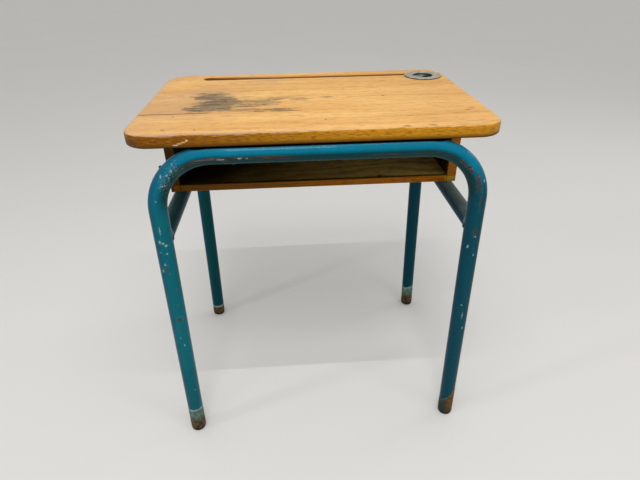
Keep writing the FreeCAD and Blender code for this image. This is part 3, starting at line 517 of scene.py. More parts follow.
def oak(name, heart, ring_width, wander):
    """Oak that is worn pale on top, amber down its edges, stained in the groove with painted shade at its
    bottom, and dull underneath with painted shade there.
    """
    material, steps, surface, place, facing = new_material(name)
    x, y, z = steps.parts(place)
    grain = steps.effect(WOOD_GRAIN, Place=place, Heart=heart, Ring_Width=ring_width, Wander=wander)
    up = steps.parts(facing)[2]
    in_groove = inside_groove(steps, place)
    not_groove = steps.less(1.0, in_groove)

    nibbled = steps.noise(place, (60.0, 60.0, 260.0), detail=4.0, roughness=0.65)
    rubbed = steps.ramp(steps.add(up, steps.times(nibbled, 0.70)), 0.98, 1.16)
    colour = steps.colour(rubbed, kept_varnish(steps, place, grain), worn_oak(steps, place, grain))
    patchy = steps.noise(place, (34.0, 160.0, 160.0), detail=5.0, roughness=0.62)
    to_arris = steps.add(z, steps.times(steps.less(patchy, 0.5), 0.009))
    arris = steps.ramp(to_arris, TOP_HEIGHT - 0.0026, TOP_HEIGHT - 0.0008)
    arris = steps.times(arris, steps.ramp(up, 0.998, 0.97))
    handled = steps.times(arris, steps.between(steps.ramp(x, 0.10, -0.04), 0.10, 0.60))
    colour = steps.colour(steps.times(handled, not_groove), colour, OAK_ROSE)
    near_edge = steps.ramp(y, TOP_FRONT_Y + 0.016, TOP_FRONT_Y + 0.003)
    near_edge = steps.times(near_edge, steps.ramp(x, 0.04, -0.12))
    near_edge = steps.times(near_edge, steps.times(steps.ramp(patchy, 0.36, 0.60), rubbed))
    colour = steps.colour(near_edge, colour, OAK_ROSE, 0.40)

    stained = steps.colour(steps.ramp(x, -0.22, -0.04), GROOVE_BROWN, GROOVE_ORANGE)
    # Painted shade: the groove darkens towards its bottom.
    deep_shade = steps.ramp(z, TOP_HEIGHT - 0.0014, TOP_HEIGHT - 0.0030)
    stained = steps.colour(deep_shade, stained, GROOVE_SHADE, 0.95)
    colour = steps.colour(in_groove, colour, stained)

    found = steps.effect(TOP_MARKS, Place=place)
    colour = steps.colour(found["Grey"], colour, STAIN_GREY, 0.80)
    colour = steps.colour(found["Black"], colour, STAIN_BLACK, 0.80)
    colour = steps.colour(found["Crack"], colour, CRACK_BROWN, 0.85)
    colour = steps.colour(found["Pale"], colour, BARE_WOOD)
    # Painted shade: surfaces that face down are darkened.
    underneath = steps.ramp(up, -0.1, -0.8)
    steps.feed(surface["Base Color"], steps.colour(underneath, colour, AMBER_DARK, 0.6))

    dull = steps.between(steps.times(rubbed, not_groove), 0.38, 0.58)
    dull = steps.most(dull, steps.times(underneath, 0.95))
    steps.feed(surface["Roughness"], steps.add(dull, steps.times(found["Grey"], 0.2)))
    surface["Specular IOR Level"].default_value = 0.12
    sunk = steps.add(steps.times(found["Black"], 0.4), steps.times(found["Crack"], 0.9))
    hollow = steps.less(steps.times(grain["Height"], 0.5), sunk)
    relief(steps, surface, hollow, 0.0006)
    return material


# ---------------- the book box
# It is open to the front, and its back fills the space between its sides.
BOX_FLOOR_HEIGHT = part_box("box_bottom")[1].z
BOX_FRONT_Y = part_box("box_right_side")[0].y
BOX_BACK_LOW, BOX_BACK_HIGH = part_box("box_back")
BOX_INNER_X = BOX_BACK_HIGH.x - FRAME_MIDDLE_X
FLOOR_KNOT = [(0.1194, -0.031, 0.0046, 0.0048)]
KNOT_DEPTH = 0.010


def varnished(name, heart, along, left, right, inner, ring_width=0.006, wander=0.05):
    """Brown varnish on softwood: its colour at the left, at the right, and inside the box at the right,
    with painted light and shade in the change from left to right and inside the box.
    """
    material, steps, surface, place, facing = new_material(name)
    x, y, z = steps.parts(place)
    turned = steps.stretch(place, (1, 1, 1), turn=along)
    grain = steps.effect(WOOD_GRAIN, Place=turned, Heart=heart, Ring_Width=ring_width, Wander=wander)
    # Painted light and shade: darker towards the left and brighter towards the right.
    colour = steps.colour(steps.ramp(x, -0.20, 0.24), left, right)
    colour = steps.colour(steps.ramp(grain["Drift"], 0.36, 0.64), colour, BOX_BROWN, 0.25)
    off_middle = steps.apart(x, FRAME_MIDDLE_X)
    inside = steps.ramp(off_middle, BOX_INNER_X + 0.0006, BOX_INNER_X + 0.0001)
    inside = steps.times(inside, steps.ramp(y, BOX_FRONT_Y + 0.0015, BOX_FRONT_Y + 0.0040))
    inside = steps.times(inside, steps.ramp(y, BOX_BACK_LOW.y + 0.0006, BOX_BACK_LOW.y + 0.0001))
    inside = steps.times(inside, steps.ramp(z, BOX_FLOOR_HEIGHT - 0.0006, BOX_FLOOR_HEIGHT - 0.0001))
    # Painted shade inside the box: near black at the left, turning at the right to the inside colour, which
    # on the floor is painted light.
    colour = steps.colour(inside, colour, steps.colour(steps.ramp(x, -0.20, 0.15), BOX_GRIME_AND_SHADE, inner))
    at_front = steps.ramp(y, BOX_FRONT_Y + 0.0015, BOX_FRONT_Y + 0.0005)
    on_edge = steps.times(at_front, steps.ramp(x, BOX_INNER_X - 0.001, BOX_INNER_X + 0.001))
    corner = steps.times(on_edge, steps.ramp(z, BOX_FLOOR_HEIGHT, BOX_FLOOR_HEIGHT - 0.002))
    colour = steps.colour(corner, colour, BOX_CORNER, 0.85)
    colour = steps.colour(grain["Rings"], colour, BOX_DARK, 0.36)
    colour = steps.colour(grain["Flecks"], colour, BOX_DARK, 0.60)
    blotch = steps.ramp(steps.noise(place, 30.0, detail=5.0, roughness=0.65), 0.50, 0.72)
    colour = steps.colour(blotch, colour, BOX_DARK, 0.28)

    knot_place = steps.jitter(place, (160.0, 160.0, 160.0), (0.0015, 0.0015, 0.0015))
    knot = marks(steps, knot_place, facing_up(FLOOR_KNOT, BOX_FLOOR_HEIGHT, KNOT_DEPTH))
    knot = steps.ramp(knot, 1.3, 0.5)
    colour = steps.colour(knot, colour, BOX_GRIME_AND_SHADE, 0.9)

    to_joint = steps.apart(off_middle, BOX_INNER_X)
    joint = steps.times(steps.ramp(to_joint, 0.0010, 0.0003), at_front)
    colour = steps.colour(joint, colour, BOX_GRIME_AND_SHADE, 0.8)

    scuffed = steps.effect(SCRATCHES, Place=place, Amount=0.35)["Mask"]
    colour = steps.colour(scuffed, colour, BOX_DUST, 0.35)
    dusty = steps.effect(SETTLED_DUST, Place=place, Facing=facing, Amount=0.14)["Mask"]
    dusty = steps.times(dusty, steps.between(steps.ramp(x, -0.05, 0.12), 0.1, 1.0))
    colour = steps.colour(dusty, colour, BOX_DUST)
    steps.feed(surface["Base Color"], colour)
    steps.feed(surface["Roughness"], steps.between(steps.noise(place, 40.0), 0.38, 0.58))
    surface["Specular IOR Level"].default_value = 0.08
    relief(steps, surface, grain["Height"], 0.0004)
    return material


# ---------------- the enamelled tubes
# On the front of the arch each spot is (x, z, reach along x, reach along z).
PALE_CHIPS = [
    (-0.2126, 0.5646, 0.0018, 0.0018), (-0.2191, 0.558, 0.002, 0.002),
    (-0.2173, 0.5537, 0.0015, 0.0015), (-0.2297, 0.5409, 0.002, 0.0014),
    (-0.2248, 0.5415, 0.0016, 0.0013), (-0.2426, 0.5174, 0.0012, 0.0022),
    (-0.2458, 0.468, 0.001, 0.008), (-0.2496, 0.4483, 0.0017, 0.0034),
    (-0.2449, 0.4456, 0.0024, 0.0018), (-0.2412, 0.441, 0.002, 0.0026),
    (-0.242, 0.4263, 0.0012, 0.0018), (-0.2517, 0.429, 0.001, 0.0018),
    (-0.2487, 0.4066, 0.0016, 0.0024), (-0.2538, 0.3941, 0.0012, 0.0026),
    (-0.2498, 0.2515, 0.001, 0.0013), (-0.2457, 0.2333, 0.0012, 0.0022),
    (-0.2445, 0.1166, 0.001, 0.0014), (-0.142, 0.5787, 0.0062, 0.001),
    (-0.114, 0.5794, 0.004, 0.001), (-0.104, 0.5793, 0.002, 0.0008), (-0.21, 0.574, 0.0014, 0.001),
    (-0.229, 0.556, 0.001, 0.003), (0.2471, 0.5295, 0.0012, 0.0024), (0.247, 0.4324, 0.0026, 0.0012),
    (0.239, 0.4129, 0.0012, 0.0036), (0.2501, 0.3976, 0.0009, 0.003),
    (0.2457, 0.292, 0.0022, 0.0009), (0.25, 0.268, 0.0009, 0.008), (0.2546, 0.2381, 0.0008, 0.004),
]
SPRAYED = [(-0.208, 0.564, 0.016, 0.016), (-0.225, 0.543, 0.014, 0.02)]
RUST_SPOTS = [
    (-0.2466, 0.3992, 0.0022, 0.0034), (-0.2465, 0.3889, 0.0013, 0.0026),
    (-0.2409, 0.3543, 0.001, 0.0022), (-0.2433, 0.3231, 0.0016, 0.0019),
    (-0.2449, 0.2924, 0.0036, 0.0046), (-0.2484, 0.2703, 0.001, 0.0042),
    (0.2073, 0.5627, 0.0024, 0.0018), (0.2138, 0.5576, 0.0022, 0.0018),
    (0.2202, 0.5527, 0.0036, 0.0032), (0.2247, 0.5463, 0.0024, 0.0034),
    (0.234, 0.5373, 0.0026, 0.005), (0.2382, 0.5273, 0.0034, 0.0085), (0.2422, 0.517, 0.002, 0.0055),
    (0.2462, 0.495, 0.0009, 0.0115), (0.2462, 0.4418, 0.0028, 0.0048),
]


ARCH_MARK_DEPTH = 0.009


def on_arch(spots):
    return facing_front(spots, FRONT_ARCH_Y - TUBE_RADIUS, ARCH_MARK_DEPTH)


def make_arch_offset():
    """How far a place lies outside an arch's centre line, in the arch's own plane."""
    steps, entry, results = new_effect("arch_offset", ["Place"], [], ["Offset"])
    x, _, z = steps.parts(entry["Place"])
    off_middle = steps.apart(x, FRAME_MIDDLE_X)
    beyond_x = steps.less(off_middle, BEND_CENTRE_X)
    beyond_z = steps.less(z, BEND_CENTRE_Z)
    beyond = {0: steps.most(beyond_x, 0.0), 1: steps.most(beyond_z, 0.0)}
    corner = steps.step("ShaderNodeCombineXYZ", beyond)
    reach = steps.vector("LENGTH", corner.outputs[0])
    steps.feed(results["Offset"], steps.less(reach, BEND_RADIUS))
    return steps.tree


def make_arch_damage():
    """The front arch's own damage: the line that chairs have scraped, and its chips and rust spots."""
    gives = ["Pale", "Rust", "Rim", "Scraped"]
    steps, entry, results = new_effect("arch_damage", ["Place"], [], gives)
    place = entry["Place"]
    x, y, _ = steps.parts(place)
    flaky = steps.jitter(place, (700.0, 700.0, 700.0), (0.0028, 0.0028, 0.0028))
    ragged = steps.jitter(place, (360.0, 360.0, 360.0), (0.0032, 0.0032, 0.0032))
    specks = steps.noise(place, 1000.0, roughness=0.65)

    chips = steps.ramp(marks(steps, flaky, on_arch(PALE_CHIPS)), 1.10, 0.70)
    to_rust = marks(steps, ragged, on_arch(RUST_SPOTS))
    halo = steps.times(steps.ramp(to_rust, 2.3, 1.5), steps.ramp(specks, 0.63, 0.68))
    sprayed = steps.ramp(marks(steps, place, on_arch(SPRAYED)), 1.3, 0.5)
    sprayed = steps.ramp(steps.add(specks, steps.times(sprayed, 0.10)), 0.70, 0.73)
    pale = steps.most(steps.most(steps.times(chips, steps.ramp(specks, 0.42, 0.50)), halo), sprayed)
    steps.feed(results["Pale"], pale)
    eaten = steps.ramp(steps.noise(place, 620.0, detail=4.0, roughness=0.65), 0.44, 0.52)
    steps.feed(results["Rust"], steps.times(steps.ramp(to_rust, 1.25, 0.95), eaten))
    steps.feed(results["Rim"], steps.ramp(to_rust, 0.45, 0.95))

    offset = steps.effect(make_arch_offset(), Place=ragged)["Offset"]
    to_right = steps.ramp(x, -0.04, 0.08)
    middle = steps.between(to_right, -0.0030, -0.0040)
    half_width = steps.between(to_right, 0.0036, 0.0018)
    off_line = steps.apart(offset, middle)
    in_line = steps.ramp(steps.number("DIVIDE", off_line, half_width), 1.15, 0.70)
    in_front = steps.ramp(y, FRONT_ARCH_Y - 0.6 * TUBE_RADIUS, FRONT_ARCH_Y - 0.9 * TUBE_RADIUS)
    left = steps.times(steps.ramp(x, -0.215, -0.165), steps.ramp(x, -0.010, -0.060))
    right = steps.times(steps.ramp(x, 0.050, 0.100), steps.ramp(x, 0.230, 0.215))
    along = steps.most(left, steps.times(right, 0.85))
    broken = steps.ramp(steps.noise(place, (26.0, 30.0, 320.0), detail=5.0), 0.36, 0.50)
    steps.feed(results["Scraped"], steps.times(steps.times(in_line, in_front), steps.times(along, broken)))
    return steps.tree


ARCH_DAMAGE = make_arch_damage()


def foot_wear(steps, place, left_line, right_line, slant):
    """Height above the line, slanting across the right leg, below which a foot has lost its enamel."""
    x, _, z = steps.parts(place)
    is_right = steps.ramp(x, -0.01, 0.01)
    line = steps.between(is_right, left_line, right_line)
    ragged = steps.times(steps.less(steps.noise(place, 90.0, detail=4.0), 0.5), 0.016)
    tilt = steps.times(steps.less(x, FRAME_MIDDLE_X + FOOT_REACH), slant)
    return steps.less(z, steps.add(line, steps.times(steps.add(tilt, ragged), is_right)))


def bare_foot(steps, place, above):
    """The colour of a foot that has lost its enamel: grey-green and brown, or ochre at the front right."""
    x, y, z = steps.parts(place)
    is_right = steps.times(steps.ramp(x, -0.01, 0.01), steps.ramp(y, 0.01, -0.01))
    patchy = steps.ramp(steps.noise(place, 150.0, detail=4.0), 0.35, 0.65)
    steel = steps.colour(patchy, FOOT_GREY, FOOT_GREEN)
    dirty = steps.ramp(steps.noise(place, 210.0, detail=5.0), 0.40, 0.62)
    dirt = steps.colour(dirty, RUST_DARK, FOOT_BROWN)
    foot = steps.colour(steps.ramp(z, 0.046, 0.024), steel, dirt)
    rust = steps.colour(steps.ramp(z, 0.035, 0.008), FOOT_OCHRE, RUST_DARK, 0.5)
    rust = steps.colour(patchy, rust, RUST_DARK, 0.6)
    beside = steps.less(x, FRAME_MIDDLE_X + FOOT_REACH)
    rust = steps.colour(steps.ramp(beside, 0.000, -0.010), rust, TEAL_SHADE, 0.8)
    foot = steps.colour(is_right, foot, rust)
    # Painted shade: the very bottom of the tube is near black.
    foot = steps.colour(steps.ramp(z, TUBE_END + 0.003, TUBE_END + 0.001), foot, SHADE_BLACK)
    rim = steps.times(steps.ramp(above, -0.0085, -0.0010), steps.between(patchy, 1.0, 0.2))
    rim = steps.times(rim, steps.between(is_right, 0.8, 0.15))
    return steps.colour(rim, foot, CHIP_PALE)


# Heights between which the enamel changes from the crown's colour to the legs', and darkens to the feet.
CROWN_COLOUR_HEIGHT = 0.56
LEG_COLOUR_HEIGHT = 0.46
FOOT_SHADE_START = 0.20
FOOT_SHADE_END = 0.06


def enamel(name, high, low, feet=None, chips=0.3, dust=0.1, own_damage=None, shine=0.08, cool=0.75):
    """Gloss enamel on steel tube: chipped, scratched, dusty on top, gone at the feet, and darkened by
    painted shade in places.

    high and low are its colours at the crown and down the legs, and cool says how much painted shade
    darkens and blues the sides that face left. feet holds the left and right height at which the enamel
    ends, and the slant of the right-hand line.
    """
    material, steps, surface, place, facing = new_material(name)
    rightward, _, up = steps.parts(facing)
    x, y, z = steps.parts(place)
    colour = steps.colour(steps.ramp(z, CROWN_COLOUR_HEIGHT, LEG_COLOUR_HEIGHT), high, low)
    # Painted shade: the sides that face left are darker and bluer.
    colour = steps.colour(steps.ramp(rightward, 0.1, -0.95), colour, TEAL_LEFT_SHADE, cool)
    shade = steps.ramp(steps.noise(place, 5.0, detail=2.0), 0.32, 0.68)
    colour = steps.colour(shade, colour, TEAL_DEEP, 0.25)
    # Painted shade: the right leg is darker, most on its side that faces right.
    right_leg_shade = steps.times(steps.ramp(x, 0.14, 0.25), steps.ramp(z, CROWN_COLOUR_HEIGHT, 0.50))
    colour = steps.colour(right_leg_shade, colour, TEAL_DEEP, 0.75)
    right_leg_outer_shade = steps.times(right_leg_shade, steps.ramp(rightward, 0.0, 0.8))
    colour = steps.colour(right_leg_outer_shade, colour, TEAL_SHADE, 0.5)
    near_foot = steps.ramp(z, FOOT_SHADE_START, FOOT_SHADE_END)
    colour = steps.colour(near_foot, colour, TEAL_DEEP, 0.40)
    crown = steps.ramp(z, CROWN_HEIGHT - 0.030, CROWN_HEIGHT - 0.012)
    shaded = steps.ramp(up, steps.between(crown, 0.16, 0.38), steps.between(crown, -0.30, -0.18))
    colour = steps.colour(shaded, colour, TEAL_SHADE, 0.92)
    smudge = steps.ramp(steps.noise(place, 38.0, detail=5.0, roughness=0.7), 0.50, 0.72)
    colour = steps.colour(smudge, colour, TEAL_DEEP, 0.25)
    dusty = steps.effect(SETTLED_DUST, Place=place, Facing=facing, Amount=dust)["Mask"]
    colour = steps.colour(dusty, colour, DUST_GREY)
    fine = steps.effect(SCRATCHES, Place=place, Amount=0.30)["Mask"]
    colour = steps.colour(fine, colour, CHIP_PALE, 0.12)
    # Painted shade: the tube is near black just under the top, behind its front edge.
    shade_under_top = steps.ramp(z, TOP_UNDERSIDE - 0.0052, TOP_UNDERSIDE - 0.0034)
    behind_edge = steps.ramp(steps.number("ABSOLUTE", y), -TOP_FRONT_Y - 0.0002, -TOP_FRONT_Y - 0.0012)
    shade_under_top = steps.times(shade_under_top, behind_edge)
    colour = steps.colour(shade_under_top, colour, SHADE_BLACK)

    chipped = steps.effect(CHIPPING, Place=place, Amount=chips)
    pale, rust, rim = chipped["Pale"], chipped["Rust"], 0.3
    if own_damage is not None:
        own = steps.effect(own_damage, Place=place)
        pale = steps.most(pale, own["Pale"])
        rust = steps.most(rust, own["Rust"])
        rim = own["Rim"]
        streaks = steps.noise(place, (50.0, 50.0, 620.0))
        grubby = steps.colour(steps.ramp(streaks, 0.40, 0.60), SCRAPE_BROWN, RUST_DARK)
        colour = steps.colour(own["Scraped"], colour, grubby, 0.88)
        bare = steps.times(steps.ramp(streaks, 0.42, 0.34), steps.ramp(x, -0.05, -0.09))
        colour = steps.colour(steps.times(own["Scraped"], bare), colour, CHIP_PALE, 0.2)
    browner = steps.ramp(steps.noise(place, 520.0, detail=4.0), 0.38, 0.62)
    rusty = steps.colour(browner, RUST_DARK, RUST_BROWN)
    rusty = steps.colour(rim, rusty, RUST_ORANGE, 0.22)
    colour = steps.colour(pale, colour, CHIP_PALE)
    colour = steps.colour(rust, colour, rusty)
    damage = steps.most(pale, rust)
    if feet is not None:
        above = foot_wear(steps, place, *feet)
        gone = steps.ramp(above, 0.0008, -0.0008)
        colour = steps.colour(gone, colour, bare_foot(steps, place, above))
        damage = steps.most(damage, gone)

    steps.feed(surface["Base Color"], colour)
    gloss = steps.add(steps.between(smudge, 0.06, 0.15), steps.times(steps.most(dusty, shade_under_top), 0.8))
    gloss = steps.add(gloss, steps.times(steps.ramp(up, 0.0, -0.4), 0.35))
    steps.feed(surface["Roughness"], steps.add(gloss, steps.times(damage, 0.45)))
    surface["Specular IOR Level"].default_value = shine
    peel = steps.times(steps.noise(place, 260.0, detail=1.0), 0.10)
    pitted = steps.times(steps.times(damage, steps.noise(place, 900.0)), 0.5)
    height = steps.add(steps.less(peel, steps.times(damage, 0.5)), pitted)
    relief(steps, surface, height, 0.0005)
    return material


# ---------------- small metal, plastic and ink
def worn_metal(name, colour, bright, metallic, roughness, grime, shine=0.5, seam_shade=0.0, ink_and_shade=()):
    """Metal that is bright where it is rubbed, dark where grime lies, black in given spots of dried ink and
    painted shade, and near black as painted shade where it meets the top.
    """
    material, steps, surface, place, _ = new_material(name)
    tone = steps.ramp(steps.noise(place, 160.0, detail=5.0, roughness=0.65), 0.35, 0.65)
    base = steps.colour(tone, colour, bright)
    dirt = steps.ramp(steps.noise(place, 420.0, detail=4.0), 0.52, 0.70)
    base = steps.colour(dirt, base, METAL_GRIME, grime)
    fine = steps.effect(SCRATCHES, Place=place, Amount=0.6)["Mask"]
    base = steps.colour(fine, base, bright, 0.4)
    to_top = steps.apart(steps.parts(place)[2], TOP_HEIGHT)
    # Painted shade: near black close to the top's surface.
    seam = steps.ramp(to_top, 0.0021, 0.0012)
    base = steps.colour(seam, base, SHADE_BLACK, seam_shade)
    if ink_and_shade:
        ragged = steps.jitter(place, (600.0, 600.0, 600.0), (0.0012, 0.0012, 0.0012))
        base = steps.colour(steps.ramp(marks(steps, ragged, ink_and_shade), 1.15, 0.85), base, INK_BLACK)
    steps.feed(surface["Base Color"], base)
    dull = steps.between(tone, roughness, roughness + 0.12)
    steps.feed(surface["Roughness"], steps.add(steps.times(dirt, 0.2), dull))
    surface["Metallic"].default_value = metallic
    surface["Specular IOR Level"].default_value = shine
    relief(steps, surface, steps.less(tone, fine), 0.00006)
    return material


def scuffed_plastic(name):
    """Black plastic of the foot glides, scuffed paler in patches."""
    material, steps, surface, place, _ = new_material(name)
    scuff = steps.ramp(steps.noise(place, 240.0, detail=5.0, roughness=0.7), 0.48, 0.68)
    steps.feed(surface["Base Color"], steps.colour(scuff, GLIDE_BLACK, GLIDE_SCUFF, 0.12))
    steps.feed(surface["Roughness"], steps.between(scuff, 0.55, 0.85))
    relief(steps, surface, scuff, 0.0002)
    return material


def dried_ink(name):
    """Ink dried to a dark crust with a touch of blue."""
    material, steps, surface, place, _ = new_material(name)
    crust = steps.noise(place, 900.0, detail=4.0)
    steps.feed(surface["Base Color"], steps.colour(crust, CRUST_DARK, CRUST_BLUE))
    steps.feed(surface["Roughness"], steps.between(crust, 0.25, 0.6))
    relief(steps, surface, crust, 0.0003)
    return material


# ---------------- dressing the CAD pieces
ALONG_X = (0, 0, 0)
ALONG_Y = (0, 0, math.radians(90))


def dress(material, *nodes):
    for node in nodes:
        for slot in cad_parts[node].material_slots:
            slot.material = material


def dress_top():
    for board, heart, ring_width, wander in (
        ("front", (0.4, -0.150, 0.520), 0.0052, 0.035),
        ("middle", (-0.3, -0.010, 0.548), 0.0060, 0.060),
        ("rear", (0.1, 0.160, 0.470), 0.0045, 0.030),
    ):
        dress(oak(f"oak_{board}_board", heart, ring_width, wander), f"top_{board}_board")


def dress_box():
    # The floor's inside colour at the right is painted light; the inside colours of the sides and the back,
    # and the left side's colour at its left, are painted shade.
    floor = varnished(
        "box_floor_varnish", (0.1, 0.05, 0.38), ALONG_X, left=BOX_BROWN, right=BOX_BROWN, inner=BOX_FLOOR_PAINTED_LIGHT,
        ring_width=0.014, wander=0.10,
    )
    dress(floor, "box_bottom")
    lipping = varnished(
        "lipping_varnish", (0.1, -0.10, 0.40), ALONG_X, left=BOX_BROWN, right=BOX_ORANGE, inner=BOX_BROWN,
        ring_width=0.004,
    )
    dress(lipping, "box_front_lipping")
    left = varnished(
        "box_left_varnish", (0.2, 0.30, 0.40), ALONG_Y, left=BOX_SHADE, right=BOX_BROWN, inner=BOX_GRIME_AND_SHADE
    )
    dress(left, "box_left_side", "top_cleat_left", "top_cleat_right")
    right = varnished(
        "box_right_varnish", (0.2, 0.30, 0.40), ALONG_Y, left=BOX_BROWN, right=BOX_ORANGE, inner=BOX_GRIME_AND_SHADE
    )
    dress(right, "box_right_side")
    back = varnished(
        "box_back_varnish", (-0.2, 0.22, 0.50), ALONG_X, left=BOX_BROWN, right=BOX_BROWN, inner=BOX_DARK
    )
    dress(back, "box_back")


def dress_frame():
    front_feet = (0.063, 0.0600, 1.6)
    rear_feet = (0.031, 0.062, 0.3)
    front = enamel(
        "front_arch_enamel", TEAL, TEAL_LEG, front_feet, chips=0.25, dust=0.03, own_damage=ARCH_DAMAGE
    )
    dress(front, "front_arch")
    # Painted shade: the rear legs' colour is darker than the front's.
    rear = enamel("rear_arch_enamel", TEAL, TEAL_REAR_SHADE, rear_feet, chips=0.45, dust=0.05, shine=0.06)
    dress(rear, "rear_arch")
    # Painted shade: the stretchers' colours are dark.
    left = enamel("left_stretcher_enamel", TEAL_LOW_SHADE, TEAL_LOW_SHADE, chips=0.6, dust=0.10, shine=0.02, cool=0.0)
    dress(left, "left_stretcher")
    right = enamel(
        "right_stretcher_enamel", TEAL_SHADE, TEAL_SHADE, chips=0.6, dust=0.40, shine=0.02, cool=0.0
    )
    dress(right, "right_stretcher")
    glides = [f"glide_{end}_{side}" for end in ("front", "rear") for side in ("left", "right")]
    dress(scuffed_plastic("glide_plastic"), *glides)


def dress_metal():
    spun = worn_metal(
        "inkwell_spun_metal", FLANGE_GREY, FLANGE_BRIGHT, metallic=0.5, roughness=0.45, grime=0.2,
        seam_shade=0.95,
    )
    dress(spun, "inkwell_flange")
    # Round the cover's mouth: dried ink, with painted shade darkening it beyond the hole.
    beside_mouth = COVER_MOUTH + Vector((0.007, 0, 0))
    ink_and_shade_spots = [(COVER_MOUTH, (0.0100, 0.0100, 0.010)), (beside_mouth, (0.006, 0.003, 0.010))]
    inked_and_shaded = worn_metal(
        "inkwell_inked_shaded_metal", COVER_GREY, COVER_BRIGHT, metallic=0.5, roughness=0.42, grime=0.5,
        ink_and_shade=ink_and_shade_spots,
    )
    dress(inked_and_shaded, "inkwell_cover")
    stained = worn_metal("ink_cup_black", CUP_BLACK, CUP_WORN, metallic=0.2, roughness=0.5, grime=0.6)
    dress(stained, "ink_cup")
    zinc = worn_metal("screw_zinc", ZINC_GREY, ZINC_BRIGHT, metallic=0.9, roughness=0.42, grime=0.6)
    dress(zinc, "cup_snap_ring", "back_screws", "cleat_top_screws", "cleat_side_screws", "bag_hook_screws")
    painted = enamel("screw_enamel", TEAL_SHADE, TEAL_DEEP, chips=1.0, dust=0.1)
    dress(painted, "front_arch_screws", "rear_arch_screws", "stretcher_screws")
    iron = worn_metal(
        "hook_black_iron", IRON_BLACK, IRON_WORN, metallic=0.0, roughness=0.60, grime=0.4, shine=0.05
    )
    dress(iron, "bag_hook")


# ---------------- pieces made here
def finish_piece(name, mesh_in_progress, material, body):
    """Turns a bmesh into a smooth piece that rides on a body."""
    bmesh.ops.recalc_face_normals(mesh_in_progress, faces=mesh_in_progress.faces)
    mesh = bpy.data.meshes.new(name)
    mesh_in_progress.to_mesh(mesh)
    mesh_in_progress.free()
    mesh.shade_smooth()
    mesh.materials.append(material)
    piece = bpy.data.objects.new(name, mesh)
    bpy.context.scene.collection.objects.link(piece)
    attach(piece, body)


def leg_x(side, height):
    """The x of a leg's axis at a height below the bend."""
    return FRAME_MIDDLE_X + side * (FOOT_REACH - height * math.tan(LEG_SPLAY))


WELD_THICKNESS = 0.0042
WELD_OFF_TUBE = 0.12 * WELD_THICKNESS
WELD_STEPS = 240
WELD_RIPPLES = 34
WELD_RIPPLE_DEPTH = 0.10
WELD_LUMPS = 3
WELD_LUMP_DEPTH = 0.12


def weld_bead(name, stretcher, side, arch_y, material):
    """A rippled bead round a stretcher's coped end, lying where the stretcher meets the leg."""
    low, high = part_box(stretcher)
    axis = Vector(((low.x + high.x) / 2, 0, (low.z + high.z) / 2))
    radius = (high.x - low.x) / 2
    away = 1 if arch_y < 0 else -1
    bead = bmesh.new()
    profile = bmesh.ops.create_circle(bead, segments=10, radius=WELD_THICKNESS / 2)
    upright = Matrix.Rotation(math.radians(90), 4, "Y")
    bmesh.ops.rotate(bead, verts=profile["verts"], cent=(0, 0, 0), matrix=upright)
    bmesh.ops.translate(bead, verts=profile["verts"], vec=(0, 0, radius))
    bmesh.ops.spin(
        bead, geom=bead.edges[:], cent=(0, 0, 0), axis=(0, 1, 0), angle=math.tau, steps=WELD_STEPS,
        use_merge=True,
    )
    for vert in bead.verts:
        angle = math.atan2(vert.co.x, vert.co.z)
        ring = Vector((math.sin(angle), 0, math.cos(angle))) * radius
        ripple = WELD_RIPPLE_DEPTH * math.sin(WELD_RIPPLES * angle)
        lump = WELD_LUMP_DEPTH * math.sin(WELD_LUMPS * angle + side)
        from_leg = axis.x + ring.x - leg_x(side, axis.z + ring.z)
        saddle = math.sqrt(max(TUBE_RADIUS ** 2 - from_leg ** 2, 0.0))
        vert.co = axis + ring + (vert.co - ring) * (1 + ripple + lump)
        vert.co.y += arch_y + away * (saddle + WELD_OFF_TUBE)
    finish_piece(name, bead, material, "desk")


def make_weld_beads():
    material = enamel("weld_enamel", TEAL_DEEP, TEAL_DEEP, chips=1.2, dust=0.75)
    for side, word in ((-1, "left"), (1, "right")):
        for arch_y, end in ((FRONT_ARCH_Y, "front"), (REAR_ARCH_Y, "rear")):
            weld_bead(f"weld_{end}_{word}", f"{word}_stretcher", side, arch_y, material)


CRUST_RADIUS = 0.0138
CRUST_THICKNESS = 0.0006
CRUST_HEIGHT = 0.0030
CRUST_RINGS = 6
CRUST_RING_WIDTH = 0.002
CRUST_RING_STEP = 0.00012


def make_dried_ink():
    """A crust of dried ink in the bottom of the cup, in shallow rings."""
    cup_low, cup_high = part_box("ink_cup")
    middle = (cup_low + cup_high) / 2
    crust = bmesh.new()
    bmesh.ops.create_circle(crust, cap_ends=True, cap_tris=False, segments=48, radius=CRUST_RADIUS)
    for _ in range(CRUST_RINGS):
        inner = [face for face in crust.faces if len(face.verts) > 4]
        bmesh.ops.inset_region(crust, faces=inner, thickness=CRUST_RING_WIDTH, depth=-CRUST_RING_STEP)
    bmesh.ops.solidify(crust, geom=crust.faces[:], thickness=CRUST_THICKNESS)
    bmesh.ops.translate(crust, verts=crust.verts, vec=(middle.x, middle.y, cup_low.z + CRUST_HEIGHT))
    finish_piece("dried_ink", crust, dried_ink("dried_ink_crust"), "inkwell")


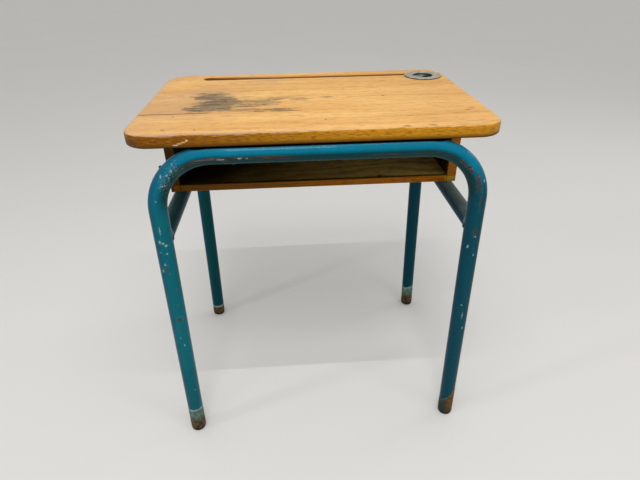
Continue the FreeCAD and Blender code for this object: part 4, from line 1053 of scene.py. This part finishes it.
# ---------------- studio
def aim_camera():
    data = bpy.data.cameras.new("camera")
    data.sensor_fit = "HORIZONTAL"
    data.lens = CAMERA_FOCAL_PIXELS / IMAGE_WIDTH * data.sensor_width
    ahead = Vector((
        math.sin(CAMERA_TURN) * math.cos(CAMERA_TIP),
        math.cos(CAMERA_TURN) * math.cos(CAMERA_TIP),
        -math.sin(CAMERA_TIP),
    ))
    level_right = Vector((math.cos(CAMERA_TURN), -math.sin(CAMERA_TURN), 0))
    level_up = level_right.cross(ahead)
    right = math.cos(CAMERA_ROLL) * level_right + math.sin(CAMERA_ROLL) * level_up
    up = math.cos(CAMERA_ROLL) * level_up - math.sin(CAMERA_ROLL) * level_right
    camera = bpy.data.objects.new("camera", data)
    turned = Matrix((right, up, -ahead)).transposed().to_4x4()
    camera.matrix_world = Matrix.Translation(CAMERA_PLACE) @ turned
    bpy.context.scene.collection.objects.link(camera)
    bpy.context.scene.camera = camera


def soft_lamp(name, place, target, width, depth, power):
    data = bpy.data.lights.new(name, "AREA")
    data.shape = "RECTANGLE"
    data.size = width
    data.size_y = depth
    data.energy = power
    lamp = bpy.data.objects.new(name, data)
    lamp.location = place
    lamp.rotation_euler = (Vector(target) - Vector(place)).to_track_quat("-Z", "Y").to_euler()
    bpy.context.scene.collection.objects.link(lamp)


def light_the_room():
    """A broad lamp and a thin strip overhead, a small lamp at the left and a weak one at the right."""
    soft_lamp("ceiling_lamp", (-0.1, -1.2, 2.3), (0, 0, 0.5), width=0.6, depth=0.6, power=13)
    soft_lamp("strip_lamp", (0.1, -0.68, 2.3), (0.1, -0.2, 0.5), width=1.6, depth=0.013, power=9)
    soft_lamp("window_lamp", (-2.1, -0.9, 2.0), (-0.2, 0, 0.5), width=0.20, depth=0.20, power=5)
    soft_lamp("side_lamp", (2.3, 0.8, 1.5), (0, 0, 0.5), width=0.8, depth=0.8, power=4)
    world = bpy.data.worlds.new("pale_room")
    world.use_nodes = True
    world.node_tree.nodes.clear()
    steps = Steps(world.node_tree)
    room = steps.step("ShaderNodeBackground", {"Color": ROOM_PALE, "Strength": 0.58})
    steps.step("ShaderNodeOutputWorld", {"Surface": room.outputs[0]})
    bpy.context.scene.world = world
    bpy.context.scene.view_settings.view_transform = "Standard"


FLOOR_REACH = 15


def lay_floor():
    floor_mesh = bmesh.new()
    bmesh.ops.create_grid(floor_mesh, x_segments=1, y_segments=1, size=FLOOR_REACH)
    mesh = bpy.data.meshes.new("floor")
    floor_mesh.to_mesh(mesh)
    floor_mesh.free()
    material, steps, surface, place, _ = new_material("pale_floor")
    cloudy = steps.noise(place, 1.5, detail=2.0)
    steps.feed(surface["Base Color"], steps.colour(cloudy, FLOOR_GREY, FLOOR_PALE))
    surface["Roughness"].default_value = 0.85
    mesh.materials.append(material)
    floor = bpy.data.objects.new("floor", mesh)
    bpy.context.scene.collection.objects.link(floor)


aim_camera()
light_the_room()
lay_floor()
dress_top()
dress_box()
dress_frame()
dress_metal()
make_weld_beads()
make_dried_ink()
